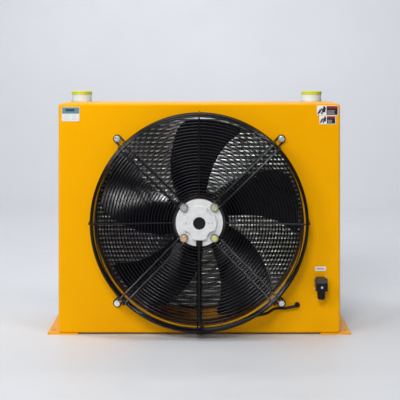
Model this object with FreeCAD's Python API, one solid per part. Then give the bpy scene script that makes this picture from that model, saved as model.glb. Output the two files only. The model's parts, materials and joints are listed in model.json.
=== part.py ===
import FreeCAD, Part
import math
import os

V = FreeCAD.Vector

# Air-blast hydraulic oil cooler: folded steel case, tube-and-fin core behind it, fan in a wire guard.
# Frame: X to the right, Y to the rear, Z up, millimetres. The origin is the centre of the four foot holes,
# on the floor. A "front" value is a distance measured forward from the front face of the case panel.

# ---- case and feet ----
CASE_WIDTH = 690.0
CASE_HEIGHT = 562.0
CASE_DEPTH = 190.0
SHEET = 2.0
CORNER_R = 8.0            # outer radius of the corners that run from front to back
BEND_R = 5.0              # outer radius of the bends around the front panel
REAR_FLANGE = 40.0        # width of the flange that the core is screwed to
FOOT_THICK = 4.0
FOOT_OUT = 27.0           # how far a foot plate stands out of the case side
FOOT_UNDER = 48.0         # how far a foot plate reaches under the case
FOOT_HOLE_OUT = 15.0
FOOT_HOLE_R = 5.5
FOOT_HOLE_INSET = 33.0    # from the front and rear ends of the plate
FOOT_SCREW_UNDER = 26.0
FOOT_SCREW_PITCH = 70.0

PANEL_Y = -CASE_DEPTH / 2
REAR_Y = CASE_DEPTH / 2
CASE_BOTTOM = FOOT_THICK
CASE_TOP = CASE_BOTTOM + CASE_HEIGHT
HALF_WIDTH = CASE_WIDTH / 2
FOOT_HOLE_X = HALF_WIDTH + FOOT_HOLE_OUT
FOOT_HOLE_Y = CASE_DEPTH / 2 - FOOT_HOLE_INSET
FOOT_SCREW_X = HALF_WIDTH - FOOT_SCREW_UNDER

# ---- fan opening ----
FAN_Z = 279.0
NOZZLE_R = 256.0
LIP_R = 4.0
NOZZLE_LENGTH = 62.0

# ---- wire guard ----
FACE_WIRE_R = 1.5
SIDE_WIRE_R = 2.25
SPOKE_WIRE_R = 2.25
RIB_WIRE_R = 2.0
WELD_DEPTH = 0.25         # how far welded wires sink into each other
CLEAR = 0.02              # gap between parts that are only clamped together
FACE_HUB_R = 64.0
FACE_RIM_R = 250.0
FACE_HUB_FRONT = 34.5
FACE_RIM_FRONT = 58.0
FACE_RINGS = 26
RIM_RINGS = 8             # the outermost face rings, welded up together with the basket wall
CORNER_RING_R = 257.4
CORNER_RING_FRONT = 55.8
SIDE_FRONT_R = 261.2
SIDE_REAR_R = 263.5
SIDE_TOP_FRONT = 48.0
SIDE_RINGS = 4
HAIRPIN_HALF = 8.0        # half the distance between the two legs of a hairpin spoke
CLAMP_R = 284.0           # radius of the four guard clamp screws
RIB_PAIR_HALF = 3.9
DIAGONALS = (45.0, 135.0, 225.0, 315.0)

# ---- external-rotor motor ----
FLANGE_R = 57.0
FLANGE_FRONT = 36.0
FLANGE_BACK = 22.0
PLATEAU_R = 41.0
PLATEAU_FRONT = 45.0
PIN_HOLES = (-31.5, -23.0, 23.0, 31.5)    # X of the four small blind holes in the plateau
MOTOR_BOLT_R = 52.0       # radius of the motor bolt circle
EAR_R = 9.0
STATOR_TUBE_R = 23.0
STATOR_TUBE_BACK = -50.0
BEARING_OD_R = 17.5
BEARING_ID_R = 7.5
BEARING_WIDTH = 11.0
BEARING_PITCH_R = 12.5
BALL_R = 2.98
RACE_R = 3.03
BALLS = 8
FRONT_BEARING_FRONT = 17.5
REAR_BEARING_FRONT = -36.5
BEARING_SHOULDER_FRONT = 20.0
PLUG_R = 15.0
STATOR_R = 60.5
STATOR_FRONT = 2.0
STATOR_BACK = -48.0
STATOR_SLOTS = 24
SLOT_IN_R = 40.0
SLOT_OUT_R = 57.0
CAGE_IN_R = 61.0
CAN_IN_R = 65.0
CAN_R = 69.0
CAN_FRONT = 20.0
CAN_BACK = -70.0
CAN_FLOOR = 5.0
SHAFT_REAR_R = 10.0

# ---- impeller ----
BLADES = 5
HUB_RING_R = 72.0
HUB_RING_FRONT = -2.0
HUB_RING_BACK = -57.0
BLADE_TIP_R = 247.0
BLADE_ROOT_R = 71.4
BLADE_THICK = 2.0
BLADE_TIP_CORNER = 20.0
BLADE_FAIRING = 0.02      # how closely the skins keep to their stations

# ---- oil core ----
CORE_X = -8.0
CORE_DEPTH = 80.0
TANK_OFFSET = 305.5
TANK_WIDTH = 56.0
TANK_WALL = 5.0
TANK_BOTTOM = 6.0
TANK_TOP = 564.0
SIDE_PLATE = 4.0
TUBES = 47
TUBE_THICK = 2.4
TUBE_DEPTH = 66.0
TUBE_WALL = 0.5
FIN_SHEET = 0.3
FIN_FOLDS = 24
BOSS_R = 26.0
BOSS_HEIGHT = 24.0
PORT_MINOR_R = 19.475     # G 1 1/4 thread, minor diameter 38.95
CAP_R = 27.15
CAP_BOTTOM = 583.5
CAP_TOP = 591.5
CAP_ROOF = 3.0

# ---- electrical plug ----
PLUG_X = 296.0
PLUG_Z = 128.0
PLUG_WIDTH = 28.0
PLUG_HEIGHT = 28.5
BASE_FRONT = 8.0
GASKET_THICK = 1.4
PLUG_FRONT = 41.0
GLAND_FRONT = 24.0
GLAND_R = 9.0
ENTRY_R = 4.0
GROMMET_X = 239.6
GROMMET_Z = 73.4
CABLE_R = 3.5
GROMMET_R = 6.6
GROMMET_NECK_R = 5.2


# ---- helpers ----
def y_at(front):
    """Y of a plane that lies this far in front of the panel."""
    return PANEL_Y - front


def polar(radius, angle_deg, front):
    """Point around the fan axis; the angle is seen from the front, anticlockwise from +X."""
    angle = math.radians(angle_deg)
    return V(radius * math.cos(angle), y_at(front), FAN_Z + radius * math.sin(angle))


def rod(x, z, radius, front_a, front_b):
    """Cylinder along Y between two distances in front of the panel."""
    low = min(front_a, front_b)
    high = max(front_a, front_b)
    return Part.makeCylinder(radius, high - low, V(x, y_at(low), z), V(0, -1, 0))


def pipe(x, z, outer, inner, front_a, front_b):
    """Hollow cylinder along Y."""
    low = min(front_a, front_b)
    high = max(front_a, front_b)
    return rod(x, z, outer, low, high).cut(rod(x, z, inner, low - 1.0, high + 1.0))


def block(x0, x1, y0, y1, z0, z1):
    """Box between two opposite corners."""
    return Part.makeBox(x1 - x0, y1 - y0, z1 - z0, V(x0, y0, z0))


def hex_prism(x, z, across_flats, front_a, front_b):
    """Hexagonal prism along Y."""
    radius = across_flats / math.sqrt(3.0)
    low = min(front_a, front_b)
    high = max(front_a, front_b)
    corners = []
    for i in range(7):
        angle = math.radians(60.0 * i)
        corners.append(V(x + radius * math.cos(angle), y_at(low), z + radius * math.sin(angle)))
    return Part.Face(Part.makePolygon(corners)).extrude(V(0, low - high, 0))


def turned(profile):
    """Solid of revolution about the fan axis from (radius, front) corners."""
    points = [V(radius, y_at(front), FAN_Z) for radius, front in profile]
    face = Part.Face(Part.makePolygon(points + points[:1]))
    return face.revolve(V(0, 0, FAN_Z), V(0, 1, 0), 360)


def spun(shape, angle_deg):
    """Copy of a shape turned about the fan axis, anticlockwise as seen from the front."""
    copy = shape.copy()
    copy.rotate(V(0, 0, FAN_Z), V(0, -1, 0), angle_deg)
    return copy


def swept_round(path, radius):
    """Round bar of the given radius along a path of tangent edges."""
    first = path.Edges[0]
    start = first.valueAt(first.FirstParameter)
    along = first.tangentAt(first.FirstParameter)
    ring = Part.Wire(Part.makeCircle(radius, start, along))
    return path.makePipeShell([ring], True, False)


def rounded_path(points, radius):
    """Edges along a polyline whose inner corners are rounded with tangent arcs."""
    edges = []
    last = points[0]
    for i in range(1, len(points) - 1):
        corner = points[i]
        back = (points[i - 1] - corner).normalize()
        ahead = (points[i + 1] - corner).normalize()
        half = back.getAngle(ahead) / 2
        setback = radius / math.tan(half)
        arc_start = corner + back * setback
        arc_end = corner + ahead * setback
        middle = (back + ahead).normalize()
        arc_mid = corner + middle * (radius / math.sin(half) - radius)
        edges.append(Part.makeLine(last, arc_start))
        edges.append(Part.Arc(arc_start, arc_mid, arc_end).toShape())
        last = arc_end
    edges.append(Part.makeLine(last, points[-1]))
    return edges


def flowing_path(points):
    """Edges along a polyline whose inner corners are the widest arcs that fit between segment middles."""
    fill = 0.97
    edges = []
    last = points[0]
    for i in range(1, len(points) - 1):
        corner = points[i]
        back = points[i - 1] - corner
        ahead = points[i + 1] - corner
        setback = fill * min(back.Length, ahead.Length) / 2
        back.normalize()
        ahead.normalize()
        half = back.getAngle(ahead) / 2
        middle = (back + ahead).normalize()
        radius = setback * math.tan(half)
        arc_start = corner + back * setback
        arc_end = corner + ahead * setback
        arc_mid = corner + middle * (radius / math.sin(half) - radius)
        edges.append(Part.makeLine(last, arc_start))
        edges.append(Part.Arc(arc_start, arc_mid, arc_end).toShape())
        last = arc_end
    edges.append(Part.makeLine(last, points[-1]))
    return edges


def cleaned(shape):
    """Shape with coplanar faces merged."""
    return shape.removeSplitter()


# ---- case and feet ----
def rounded_case_block(inset, rear_y):
    """Case outline as a solid block, drawn in by the inset, with its bends and corners rounded."""
    box = block(
        -HALF_WIDTH + inset,
        HALF_WIDTH - inset,
        PANEL_Y + inset,
        rear_y,
        CASE_BOTTOM + inset,
        CASE_TOP - inset,
    )
    long_edges = [e for e in box.Edges if abs(e.tangentAt(e.FirstParameter).y) > 0.9]
    box = box.makeFillet(CORNER_R - inset, long_edges)
    front_plane = PANEL_Y + inset
    front_edges = []
    for edge in box.Edges:
        if all(abs(v.Point.y - front_plane) < 1e-6 for v in edge.Vertexes):
            front_edges.append(edge)
    return box.makeFillet(BEND_R - inset, front_edges)


def bell_mouth():
    """Pressed inlet ring: a quarter-round lip and a short cylinder, one sheet thick."""
    flange_r = NOZZLE_R + LIP_R + 2.0
    lip_centre_r = NOZZLE_R + LIP_R
    c45 = math.cos(math.radians(45.0))

    def point(radius, front):
        return V(radius, y_at(front), FAN_Z)

    def lip_arc(radius):
        return Part.Arc(
            point(lip_centre_r, radius - LIP_R),
            point(lip_centre_r - radius * c45, radius * c45 - LIP_R),
            point(lip_centre_r - radius, -LIP_R),
        ).toShape()

    inner = LIP_R - SHEET
    edges = [
        Part.makeLine(point(flange_r, 0), point(lip_centre_r, 0)),
        lip_arc(LIP_R),
        Part.makeLine(point(NOZZLE_R, -LIP_R), point(NOZZLE_R, -NOZZLE_LENGTH)),
        Part.makeLine(point(NOZZLE_R, -NOZZLE_LENGTH), point(NOZZLE_R + SHEET, -NOZZLE_LENGTH)),
        Part.makeLine(point(NOZZLE_R + SHEET, -NOZZLE_LENGTH), point(NOZZLE_R + SHEET, -LIP_R)),
        lip_arc(inner),
        Part.makeLine(point(lip_centre_r, -SHEET), point(flange_r, -SHEET)),
        Part.makeLine(point(flange_r, -SHEET), point(flange_r, 0)),
    ]
    face = Part.Face(Part.Wire(Part.__sortEdges__(edges)))
    return face.revolve(V(0, 0, FAN_Z), V(0, 1, 0), 360)


def core_screw_places():
    """X, Z of the six screws that hold the core to the rear flange."""
    places = []
    for side in (-1, 1):
        x = CORE_X + side * TANK_OFFSET
        for z in (60.0, 285.0, 510.0):
            places.append((x, z))
    return places


def foot_screw_places():
    """X, Y of the screws that hold the foot plates under the case."""
    places = []
    for side in (-1, 1):
        for step in (-1, 0, 1):
            places.append((side * FOOT_SCREW_X, step * FOOT_SCREW_PITCH))
    return places


def base_screw_places():
    """X, Z of the four small screws of the plug base."""
    places = []
    for dx in (-12.5, 12.5):
        for dz in (-12.5, 12.5):
            places.append((PLUG_X + dx, PLUG_Z + dz))
    return places


def fan_case():
    """Folded case with its fan opening, its rear flange and every hole."""
    shell = rounded_case_block(0.0, REAR_Y).cut(rounded_case_block(SHEET, REAR_Y - SHEET))
    shell = shell.cut(block(
        -HALF_WIDTH + REAR_FLANGE,
        HALF_WIDTH - REAR_FLANGE,
        REAR_Y - 2 * SHEET,
        REAR_Y + 1.0,
        CASE_BOTTOM + 26.0,
        CASE_TOP - 26.0,
    ))
    shell = shell.cut(rod(0, FAN_Z, NOZZLE_R + LIP_R + 2.0, 1.0, -SHEET - 1.0))
    shell = shell.fuse(bell_mouth())
    holes = []
    for angle in DIAGONALS:
        place = polar(CLAMP_R, angle, 0)
        holes.append(rod(place.x, place.z, 4.5, 1.0, -SHEET - 1.0))
    holes.append(rod(GROMMET_X, GROMMET_Z, GROMMET_NECK_R + 0.1, 1.0, -SHEET - 1.0))
    holes.append(rod(PLUG_X, PLUG_Z, 10.5, 1.0, -SHEET - 1.0))
    for x, z in base_screw_places():
        holes.append(rod(x, z, 1.6, 1.0, -SHEET - 1.0))
    for x, z in core_screw_places():
        holes.append(Part.makeCylinder(4.5, 3 * SHEET, V(x, REAR_Y - 2 * SHEET, z), V(0, 1, 0)))
    for x, y in foot_screw_places():
        holes.append(Part.makeCylinder(3.3, 3 * SHEET, V(x, y, CASE_BOTTOM - SHEET), V(0, 0, 1)))
    return cleaned(shell.cut(Part.makeCompound(holes)))


def foot_plate(side):
    """Flat foot plate that stands out sideways and runs the whole depth of the case."""
    inner = HALF_WIDTH - FOOT_UNDER
    outer = HALF_WIDTH + FOOT_OUT
    low = min(side * inner, side * outer)
    high = max(side * inner, side * outer)
    plate = block(low, high, PANEL_Y, REAR_Y, 0, FOOT_THICK)
    upright = [e for e in plate.Edges if abs(e.tangentAt(e.FirstParameter).z) > 0.9]
    outer_edges = [e for e in upright if abs(abs(e.Vertexes[0].X) - outer) < 1e-6]
    plate = plate.makeFillet(3.0, outer_edges)
    for y in (-FOOT_HOLE_Y, FOOT_HOLE_Y):
        place = V(side * FOOT_HOLE_X, y, -FOOT_THICK)
        plate = plate.cut(Part.makeCylinder(FOOT_HOLE_R, 3 * FOOT_THICK, place))
    for x, y in foot_screw_places():
        if x * side > 0:
            plate = plate.cut(Part.makeCylinder(3.0 + CLEAR, 3 * FOOT_THICK, V(x, y, -FOOT_THICK)))
    return plate


def vertical_hex_screw(x, y, seat_z, shank_r, length, flats, head):
    """Hexagon screw that points down, with its head on the plane seat_z."""
    radius = flats / math.sqrt(3.0)
    corners = []
    for i in range(7):
        angle = math.radians(60.0 * i)
        corners.append(V(x + radius * math.cos(angle), y + radius * math.sin(angle), seat_z))
    top = Part.Face(Part.makePolygon(corners)).extrude(V(0, 0, head))
    return top.fuse(Part.makeCylinder(shank_r, length, V(x, y, seat_z - length)))


def foot_screws():
    """Six M6 screws, heads inside the case, threads in the foot plates."""
    seat = CASE_BOTTOM + SHEET + CLEAR
    return [vertical_hex_screw(x, y, seat, 3.0, seat - 0.5, 10.0, 4.0) for x, y in foot_screw_places()]


# ---- wire guard ----
def face_front(radius):
    """How far the face-ring centres stand in front of the panel: a shallow cone, deeper at the hub."""
    share = (radius - FACE_HUB_R) / (FACE_RIM_R - FACE_HUB_R)
    return FACE_HUB_FRONT + (FACE_RIM_FRONT - FACE_HUB_FRONT) * share


def face_ring_radii():
    """Radii of the evenly spaced face rings."""
    pitch = (FACE_RIM_R - FACE_HUB_R) / (FACE_RINGS - 1)
    return [FACE_HUB_R + pitch * i for i in range(FACE_RINGS)]


def wire_ring(radius, front, wire_r):
    """Closed wire ring about the fan axis."""
    return Part.makeTorus(radius, wire_r, V(0, y_at(front), FAN_Z), V(0, 1, 0))


def thin_rings(radii):
    """Thin rings of the guard face at the given radii."""
    return [wire_ring(radius, face_front(radius), FACE_WIRE_R) for radius in radii]


def guard_face_rings():
    """Thin rings of the guard face, inside the rim."""
    return thin_rings(face_ring_radii()[:-RIM_RINGS])


def side_ring_places():
    """(radius, front) of the heavier rings from the panel to the corner of the basket."""
    rear_front = SIDE_WIRE_R + CLEAR
    places = []
    for i in range(SIDE_RINGS):
        share = i / (SIDE_RINGS - 1)
        radius = SIDE_REAR_R + (SIDE_FRONT_R - SIDE_REAR_R) * share
        places.append((radius, rear_front + (SIDE_TOP_FRONT - rear_front) * share))
    places.append((CORNER_RING_R, CORNER_RING_FRONT))
    return places


def guard_side_rings():
    """Heavy rings of the basket wall and its corner, with the thin rings of the rim."""
    heavy = [wire_ring(radius, front, SIDE_WIRE_R) for radius, front in side_ring_places()]
    return heavy + thin_rings(face_ring_radii()[-RIM_RINGS:])


def rib_profile(wire_r, foot_radius):
    """(radius, front) corners of a spoke that lies on the face rings and runs back along the basket wall."""
    over_face = FACE_WIRE_R + wire_r - WELD_DEPTH
    over_side = SIDE_WIRE_R + wire_r - WELD_DEPTH
    slope = (FACE_RIM_FRONT - FACE_HUB_FRONT) / (FACE_RIM_R - FACE_HUB_R)
    wall_slope = (SIDE_FRONT_R - SIDE_REAR_R) / SIDE_TOP_FRONT
    corner_r = SIDE_FRONT_R + over_side
    corner_front = face_front(corner_r) + over_face * math.sqrt(1 + slope * slope)
    corner_r += wall_slope * (corner_front - SIDE_TOP_FRONT)
    return [
        (corner_r, corner_front),
        (SIDE_REAR_R + over_side, foot_radius),
    ]


def rib_wire(angle, side_offset, start_r):
    """Single wire rib from a face ring to the panel."""
    slope = (FACE_RIM_FRONT - FACE_HUB_FRONT) / (FACE_RIM_R - FACE_HUB_R)
    lift = (FACE_WIRE_R + RIB_WIRE_R - WELD_DEPTH) * math.sqrt(1 + slope * slope)
    profile = [(start_r, face_front(start_r) + lift)]
    profile += rib_profile(RIB_WIRE_R, RIB_WIRE_R + CLEAR)
    points = [V(radius, y_at(front), FAN_Z + side_offset) for radius, front in profile]
    bar = swept_round(Part.Wire(rounded_path(points, 9.0)), RIB_WIRE_R)
    return spun(bar, angle)


def hairpin(angle):
    """Closed hairpin spoke: an eye at a motor bolt, two legs over the face and wall, an eye on the panel."""
    slope = (FACE_RIM_FRONT - FACE_HUB_FRONT) / (FACE_RIM_R - FACE_HUB_R)
    lift = (FACE_WIRE_R + SPOKE_WIRE_R - WELD_DEPTH) * math.sqrt(1 + slope * slope)
    hub_front = FLANGE_FRONT + SPOKE_WIRE_R + CLEAR
    panel_front = SPOKE_WIRE_R + CLEAR
    bend_r = FACE_HUB_R + (hub_front - lift - FACE_HUB_FRONT) / slope
    profile = [(MOTOR_BOLT_R, hub_front), (bend_r, hub_front)]
    profile += rib_profile(SPOKE_WIRE_R, panel_front)
    profile.append((CLAMP_R, panel_front))

    def leg(offset):
        points = [V(radius, y_at(front), FAN_Z + offset) for radius, front in profile]
        edges = rounded_path([points[0], points[1], points[2]], 9.0)[:2]
        tail = rounded_path(points[1:], 5.5)
        return edges + [Part.makeLine(edges[-1].Vertexes[-1].Point, tail[0].Vertexes[-1].Point)] + tail[1:]

    def eye(radius, front, outward):
        return Part.Arc(
            V(radius, y_at(front), FAN_Z + HAIRPIN_HALF),
            V(radius + outward * HAIRPIN_HALF, y_at(front), FAN_Z),
            V(radius, y_at(front), FAN_Z - HAIRPIN_HALF),
        ).toShape()

    solids = []
    for offset in (HAIRPIN_HALF, -HAIRPIN_HALF):
        solids.append(swept_round(Part.Wire(leg(offset)), SPOKE_WIRE_R))
    solids.append(swept_round(Part.Wire(eye(MOTOR_BOLT_R, hub_front, -1)), SPOKE_WIRE_R))
    solids.append(swept_round(Part.Wire(eye(CLAMP_R, panel_front, 1)), SPOKE_WIRE_R))
    whole = solids[0].multiFuse(solids[1:])
    return spun(whole, angle)


def guard_hairpins():
    """The four double spokes that carry the motor."""
    return [hairpin(angle) for angle in DIAGONALS]


def guard_ribs():
    """Single ribs at the sides and the top, and a pair at the bottom that carries the cable."""
    radii = face_ring_radii()
    ribs = [rib_wire(angle, 0.0, radii[0]) for angle in (0.0, 90.0, 180.0)]
    for offset in (-RIB_PAIR_HALF, RIB_PAIR_HALF):
        ribs.append(rib_wire(270.0, offset, radii[2]))
    return ribs


def clamp_places():
    """X, Z of the four guard clamp screws."""
    points = [polar(CLAMP_R, angle, 0) for angle in DIAGONALS]
    return [(p.x, p.z) for p in points]


CLAMP_WASHER_FRONT = 2 * SPOKE_WIRE_R + 2 * CLEAR
WASHER_THICK = 1.6


def guard_washers():
    """Flat washers on the outer eyes of the hairpins."""
    solids = []
    for x, z in clamp_places():
        solids.append(pipe(x, z, 7.5, 4.2, CLAMP_WASHER_FRONT, CLAMP_WASHER_FRONT + WASHER_THICK))
    return solids


def y_hex_screw(x, z, seat_front, shank_r, tip_front, flats, head):
    """Hexagon screw along Y with its head in front of the plane seat_front, chamfered like a forged head."""
    top = hex_prism(x, z, flats, seat_front, seat_front + head)
    cone = Part.makeCone(
        flats / 2 + 4.2,
        flats / 2 - 0.4,
        head * 1.1,
        V(x, y_at(seat_front - 0.05 * head), z),
        V(0, -1, 0),
    )
    return top.common(cone).fuse(rod(x, z, shank_r, seat_front, tip_front))


def guard_screws():
    """M8 screws that clamp the guard to the panel."""
    seat = CLAMP_WASHER_FRONT + WASHER_THICK + CLEAR
    return [y_hex_screw(x, z, seat, 4.0, -13.0, 13.0, 5.3) for x, z in clamp_places()]


def guard_nuts():
    """M8 nuts behind the panel."""
    seat = -SHEET - CLEAR
    solids = []
    for x, z in clamp_places():
        nut = hex_prism(x, z, 13.0, seat, seat - 6.5)
        solids.append(nut.cut(rod(x, z, 4.0 + CLEAR, 0.0, -20.0)))
    return solids


# ---- motor, fixed side ----
def motor_bolt_places():
    """X, Z of the four motor bolts."""
    points = [polar(MOTOR_BOLT_R, angle, 0) for angle in DIAGONALS]
    return [(p.x, p.z) for p in points]


CABLE_EXIT_FRONT = 40.5
GLAND_NECK_R = 4.15        # stays under the front face of the plateau


def radial_down(radius, r_from, r_to, front):
    """Cylinder that points straight down from the fan axis between two radii."""
    return Part.makeCylinder(radius, r_to - r_from, V(0, y_at(front), FAN_Z - r_from), V(0, 0, -1))


def motor_end_plate():
    """Die-cast stator flange: raised plateau, four scallops, four ears and the bearing tube behind it."""
    plate = rod(0, FAN_Z, FLANGE_R, FLANGE_BACK, FLANGE_FRONT)
    for x, z in motor_bolt_places():
        plate = plate.fuse(rod(x, z, EAR_R, FLANGE_BACK, FLANGE_FRONT))
    plateau = rod(0, FAN_Z, PLATEAU_R, FLANGE_FRONT - 1.0, PLATEAU_FRONT)
    for x, z in motor_bolt_places():
        plateau = plateau.cut(rod(x, z, 19.0, FLANGE_FRONT, PLATEAU_FRONT + 1.0))
    plate = plate.fuse(plateau)
    plate = plate.fuse(rod(0, FAN_Z, STATOR_TUBE_R, STATOR_TUBE_BACK, FLANGE_BACK + 1.0))
    plate = plate.cut(rod(0, FAN_Z, BEARING_OD_R, STATOR_TUBE_BACK - 1.0, BEARING_SHOULDER_FRONT))
    plate = plate.cut(rod(0, FAN_Z, PLUG_R, 0.0, PLATEAU_FRONT + 1.0))
    tools = [rod(x, z, 4.0 + CLEAR, FLANGE_BACK - 1.0, FLANGE_FRONT + 1.0) for x, z in motor_bolt_places()]
    for x in PIN_HOLES:
        tools.append(rod(x, FAN_Z, 1.3, PLATEAU_FRONT - 4.0, PLATEAU_FRONT + 1.0))
    tools.append(radial_down(GLAND_NECK_R + 0.05, 30.0, PLATEAU_R + 3.0, CABLE_EXIT_FRONT))
    tools.append(rod(0, FAN_Z - 33.5, 4.0, FLANGE_BACK - 1.0, CABLE_EXIT_FRONT))
    tools.append(block(-8.5, 8.5, y_at(PLATEAU_FRONT + 1.0), y_at(32.5), FAN_Z - 70.0, FAN_Z - PLATEAU_R))
    return cleaned(plate.cut(Part.makeCompound(tools)))


def motor_centre_plug():
    """Pressed plug with a shallow dome that closes the bearing bore."""
    plug = rod(0, FAN_Z, PLUG_R - 0.03, PLATEAU_FRONT - 7.0, PLATEAU_FRONT + 0.8)
    rim = [e for e in plug.Edges if abs(e.Vertexes[0].Y - y_at(PLATEAU_FRONT + 0.8)) < 1e-6]
    return plug.makeFillet(0.7, [e for e in rim if e.Closed][:1])


def motor_flat_washers():
    """Flat washers on the inner eyes of the hairpins."""
    seat = FLANGE_FRONT + 2 * SPOKE_WIRE_R + 2 * CLEAR
    return [pipe(x, z, 9.5, 4.2, seat, seat + WASHER_THICK) for x, z in motor_bolt_places()]


SPRING_WASHER_SEAT = FLANGE_FRONT + 2 * SPOKE_WIRE_R + WASHER_THICK + 3 * CLEAR
SPRING_WASHER_THICK = 2.0


def motor_spring_washers():
    """Split spring washers under the bolt heads."""
    solids = []
    for x, z in motor_bolt_places():
        ring = pipe(x, z, 7.4, 4.2, SPRING_WASHER_SEAT, SPRING_WASHER_SEAT + SPRING_WASHER_THICK)
        gap = block(x, x + 9.0, y_at(60.0), y_at(30.0), z - 0.4, z + 0.4)
        solids.append(ring.cut(gap))
    return solids


def motor_bolts():
    """M8 bolts through the hairpin eyes into the ears of the end plate."""
    seat = SPRING_WASHER_SEAT + SPRING_WASHER_THICK + CLEAR
    return [y_hex_screw(x, z, seat, 4.0, FLANGE_BACK + 0.5, 13.0, 5.3) for x, z in motor_bolt_places()]


def slot_prism(shrink, front_a, front_b, mouth):
    """One stator slot at angle zero; the mouth is the narrow opening at the air gap."""
    pitch = 360.0 / STATOR_SLOTS
    half_in = SLOT_IN_R * math.tan(math.radians(pitch / 4)) - shrink
    half_out = SLOT_OUT_R * math.tan(math.radians(pitch / 4)) - shrink
    low = min(front_a, front_b)
    high = max(front_a, front_b)
    corners = [
        V(SLOT_IN_R + shrink, y_at(low), FAN_Z - half_in),
        V(SLOT_OUT_R - shrink, y_at(low), FAN_Z - half_out),
        V(SLOT_OUT_R - shrink, y_at(low), FAN_Z + half_out),
        V(SLOT_IN_R + shrink, y_at(low), FAN_Z + half_in),
    ]
    prism = Part.Face(Part.makePolygon(corners + corners[:1])).extrude(V(0, low - high, 0))
    if mouth:
        gap = block(SLOT_OUT_R - 1.0, STATOR_R + 1.0, y_at(high), y_at(low), FAN_Z - 1.2, FAN_Z + 1.2)
        prism = prism.fuse(gap)
    return prism


def stator_core():
    """Slotted lamination stack on the bearing tube."""
    core = pipe(0, FAN_Z, STATOR_R, STATOR_TUBE_R, STATOR_FRONT, STATOR_BACK)
    slot = slot_prism(0.0, STATOR_FRONT + 1.0, STATOR_BACK - 1.0, True)
    slots = [spun(slot, 360.0 / STATOR_SLOTS * i) for i in range(STATOR_SLOTS)]
    return core.cut(Part.makeCompound(slots))


def stator_winding():
    """Winding: a bar in every slot and an end turn at both ends."""
    gap = 0.3
    turn = 13.0
    front = pipe(0, FAN_Z, SLOT_OUT_R - gap, SLOT_IN_R + gap, STATOR_FRONT + gap, STATOR_FRONT + turn)
    back = pipe(0, FAN_Z, SLOT_OUT_R - gap, SLOT_IN_R + gap, STATOR_BACK - gap, STATOR_BACK - turn)
    bar = slot_prism(gap, STATOR_FRONT + 1.0, STATOR_BACK - 1.0, False)
    bars = [spun(bar, 360.0 / STATOR_SLOTS * i) for i in range(STATOR_SLOTS)]
    return front.multiFuse([back] + bars)


# ---- bearings ----
def bearing_fronts():
    """Front faces of the two bearings."""
    return (FRONT_BEARING_FRONT, REAR_BEARING_FRONT)


def race_torus(front):
    """Ball track of one bearing."""
    return Part.makeTorus(BEARING_PITCH_R, RACE_R, V(0, y_at(front - BEARING_WIDTH / 2), FAN_Z), V(0, 1, 0))


def bearing_outer_rings():
    """Outer rings in the bearing tube."""
    solids = []
    for front in bearing_fronts():
        ring = pipe(0, FAN_Z, BEARING_OD_R - 0.01, 14.7, front, front - BEARING_WIDTH)
        solids.append(ring.cut(race_torus(front)))
    return solids


def bearing_inner_rings():
    """Inner rings on the shaft."""
    solids = []
    for front in bearing_fronts():
        ring = pipe(0, FAN_Z, 10.3, BEARING_ID_R, front, front - BEARING_WIDTH)
        solids.append(ring.cut(race_torus(front)))
    return solids


def ball_centres(front):
    """Centres of the balls of one bearing."""
    middle = front - BEARING_WIDTH / 2
    return [polar(BEARING_PITCH_R, 360.0 / BALLS * i, middle) for i in range(BALLS)]


def bearing_balls():
    """Balls of both bearings."""
    solids = []
    for front in bearing_fronts():
        for centre in ball_centres(front):
            solids.append(Part.makeSphere(BALL_R, centre))
    return solids


def bearing_cages():
    """Ball cages: a thin ring with a pocket for every ball."""
    solids = []
    for front in bearing_fronts():
        middle = front - BEARING_WIDTH / 2
        ring = pipe(0, FAN_Z, 13.1, 11.9, middle - 4.0, middle + 4.0)
        for centre in ball_centres(front):
            axis_point = V(0, centre.y, FAN_Z)
            outward = (centre - axis_point).normalize()
            ring = ring.cut(Part.makeCylinder(BALL_R + 0.06, 8.0, axis_point + outward * 9.0, outward))
        solids.append(ring)
    return solids


def wave_washer():
    """Wavy preload washer between the bearing shoulder and the front outer ring."""
    waves = 3
    steps = 36
    middle = (BEARING_SHOULDER_FRONT + FRONT_BEARING_FRONT) / 2
    half_thick = 0.25
    height = (BEARING_SHOULDER_FRONT - FRONT_BEARING_FRONT) / 2 - half_thick - 0.05
    loops = []
    for radius in (14.4, 17.1):
        for side in (-half_thick, half_thick):
            points = []
            for i in range(steps):
                angle = 360.0 / steps * i
                wave = height * math.sin(math.radians(waves * angle))
                points.append(polar(radius, angle, middle + wave + side))
            curve = Part.BSplineCurve()
            curve.interpolate(points, PeriodicFlag=True)
            loops.append(Part.Wire(curve.toShape()))
    order = ((0, 1), (1, 3), (3, 2), (2, 0))
    faces = [Part.makeRuledSurface(loops[a], loops[b]) for a, b in order]
    joined = Part.makeCompound(faces)
    joined.sewShape()
    return Part.makeSolid(joined.Shells[0])


# ---- rotor ----
def rotor_shaft():
    """Stepped shaft with a circlip groove at its front end."""
    rear_shoulder = REAR_BEARING_FRONT - BEARING_WIDTH
    shaft = rod(0, FAN_Z, BEARING_ID_R, rear_shoulder, BEARING_SHOULDER_FRONT + 4.0)
    shaft = shaft.fuse(rod(0, FAN_Z, SHAFT_REAR_R, CAN_BACK, rear_shoulder))
    return cleaned(shaft.cut(pipe(0, FAN_Z, 9.0, 7.0, 17.55, 18.75)))


def shaft_circlip():
    """External circlip with its gap and two lugs."""
    ring = pipe(0, FAN_Z, 9.6, 7.05, 17.6, 18.7)
    lugs = [rod(x, FAN_Z + 9.4, 1.6, 17.6, 18.7) for x in (-2.4, 2.4)]
    ring = ring.multiFuse(lugs)
    gap = block(-1.2, 1.2, y_at(19.0), y_at(17.0), FAN_Z, FAN_Z + 14.0)
    eyes = [rod(x, FAN_Z + 9.8, 0.6, 17.0, 19.0) for x in (-2.6, 2.6)]
    return ring.cut(Part.makeCompound([gap] + eyes)).cut(rod(0, FAN_Z, 7.05, 17.0, 19.0))


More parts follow.
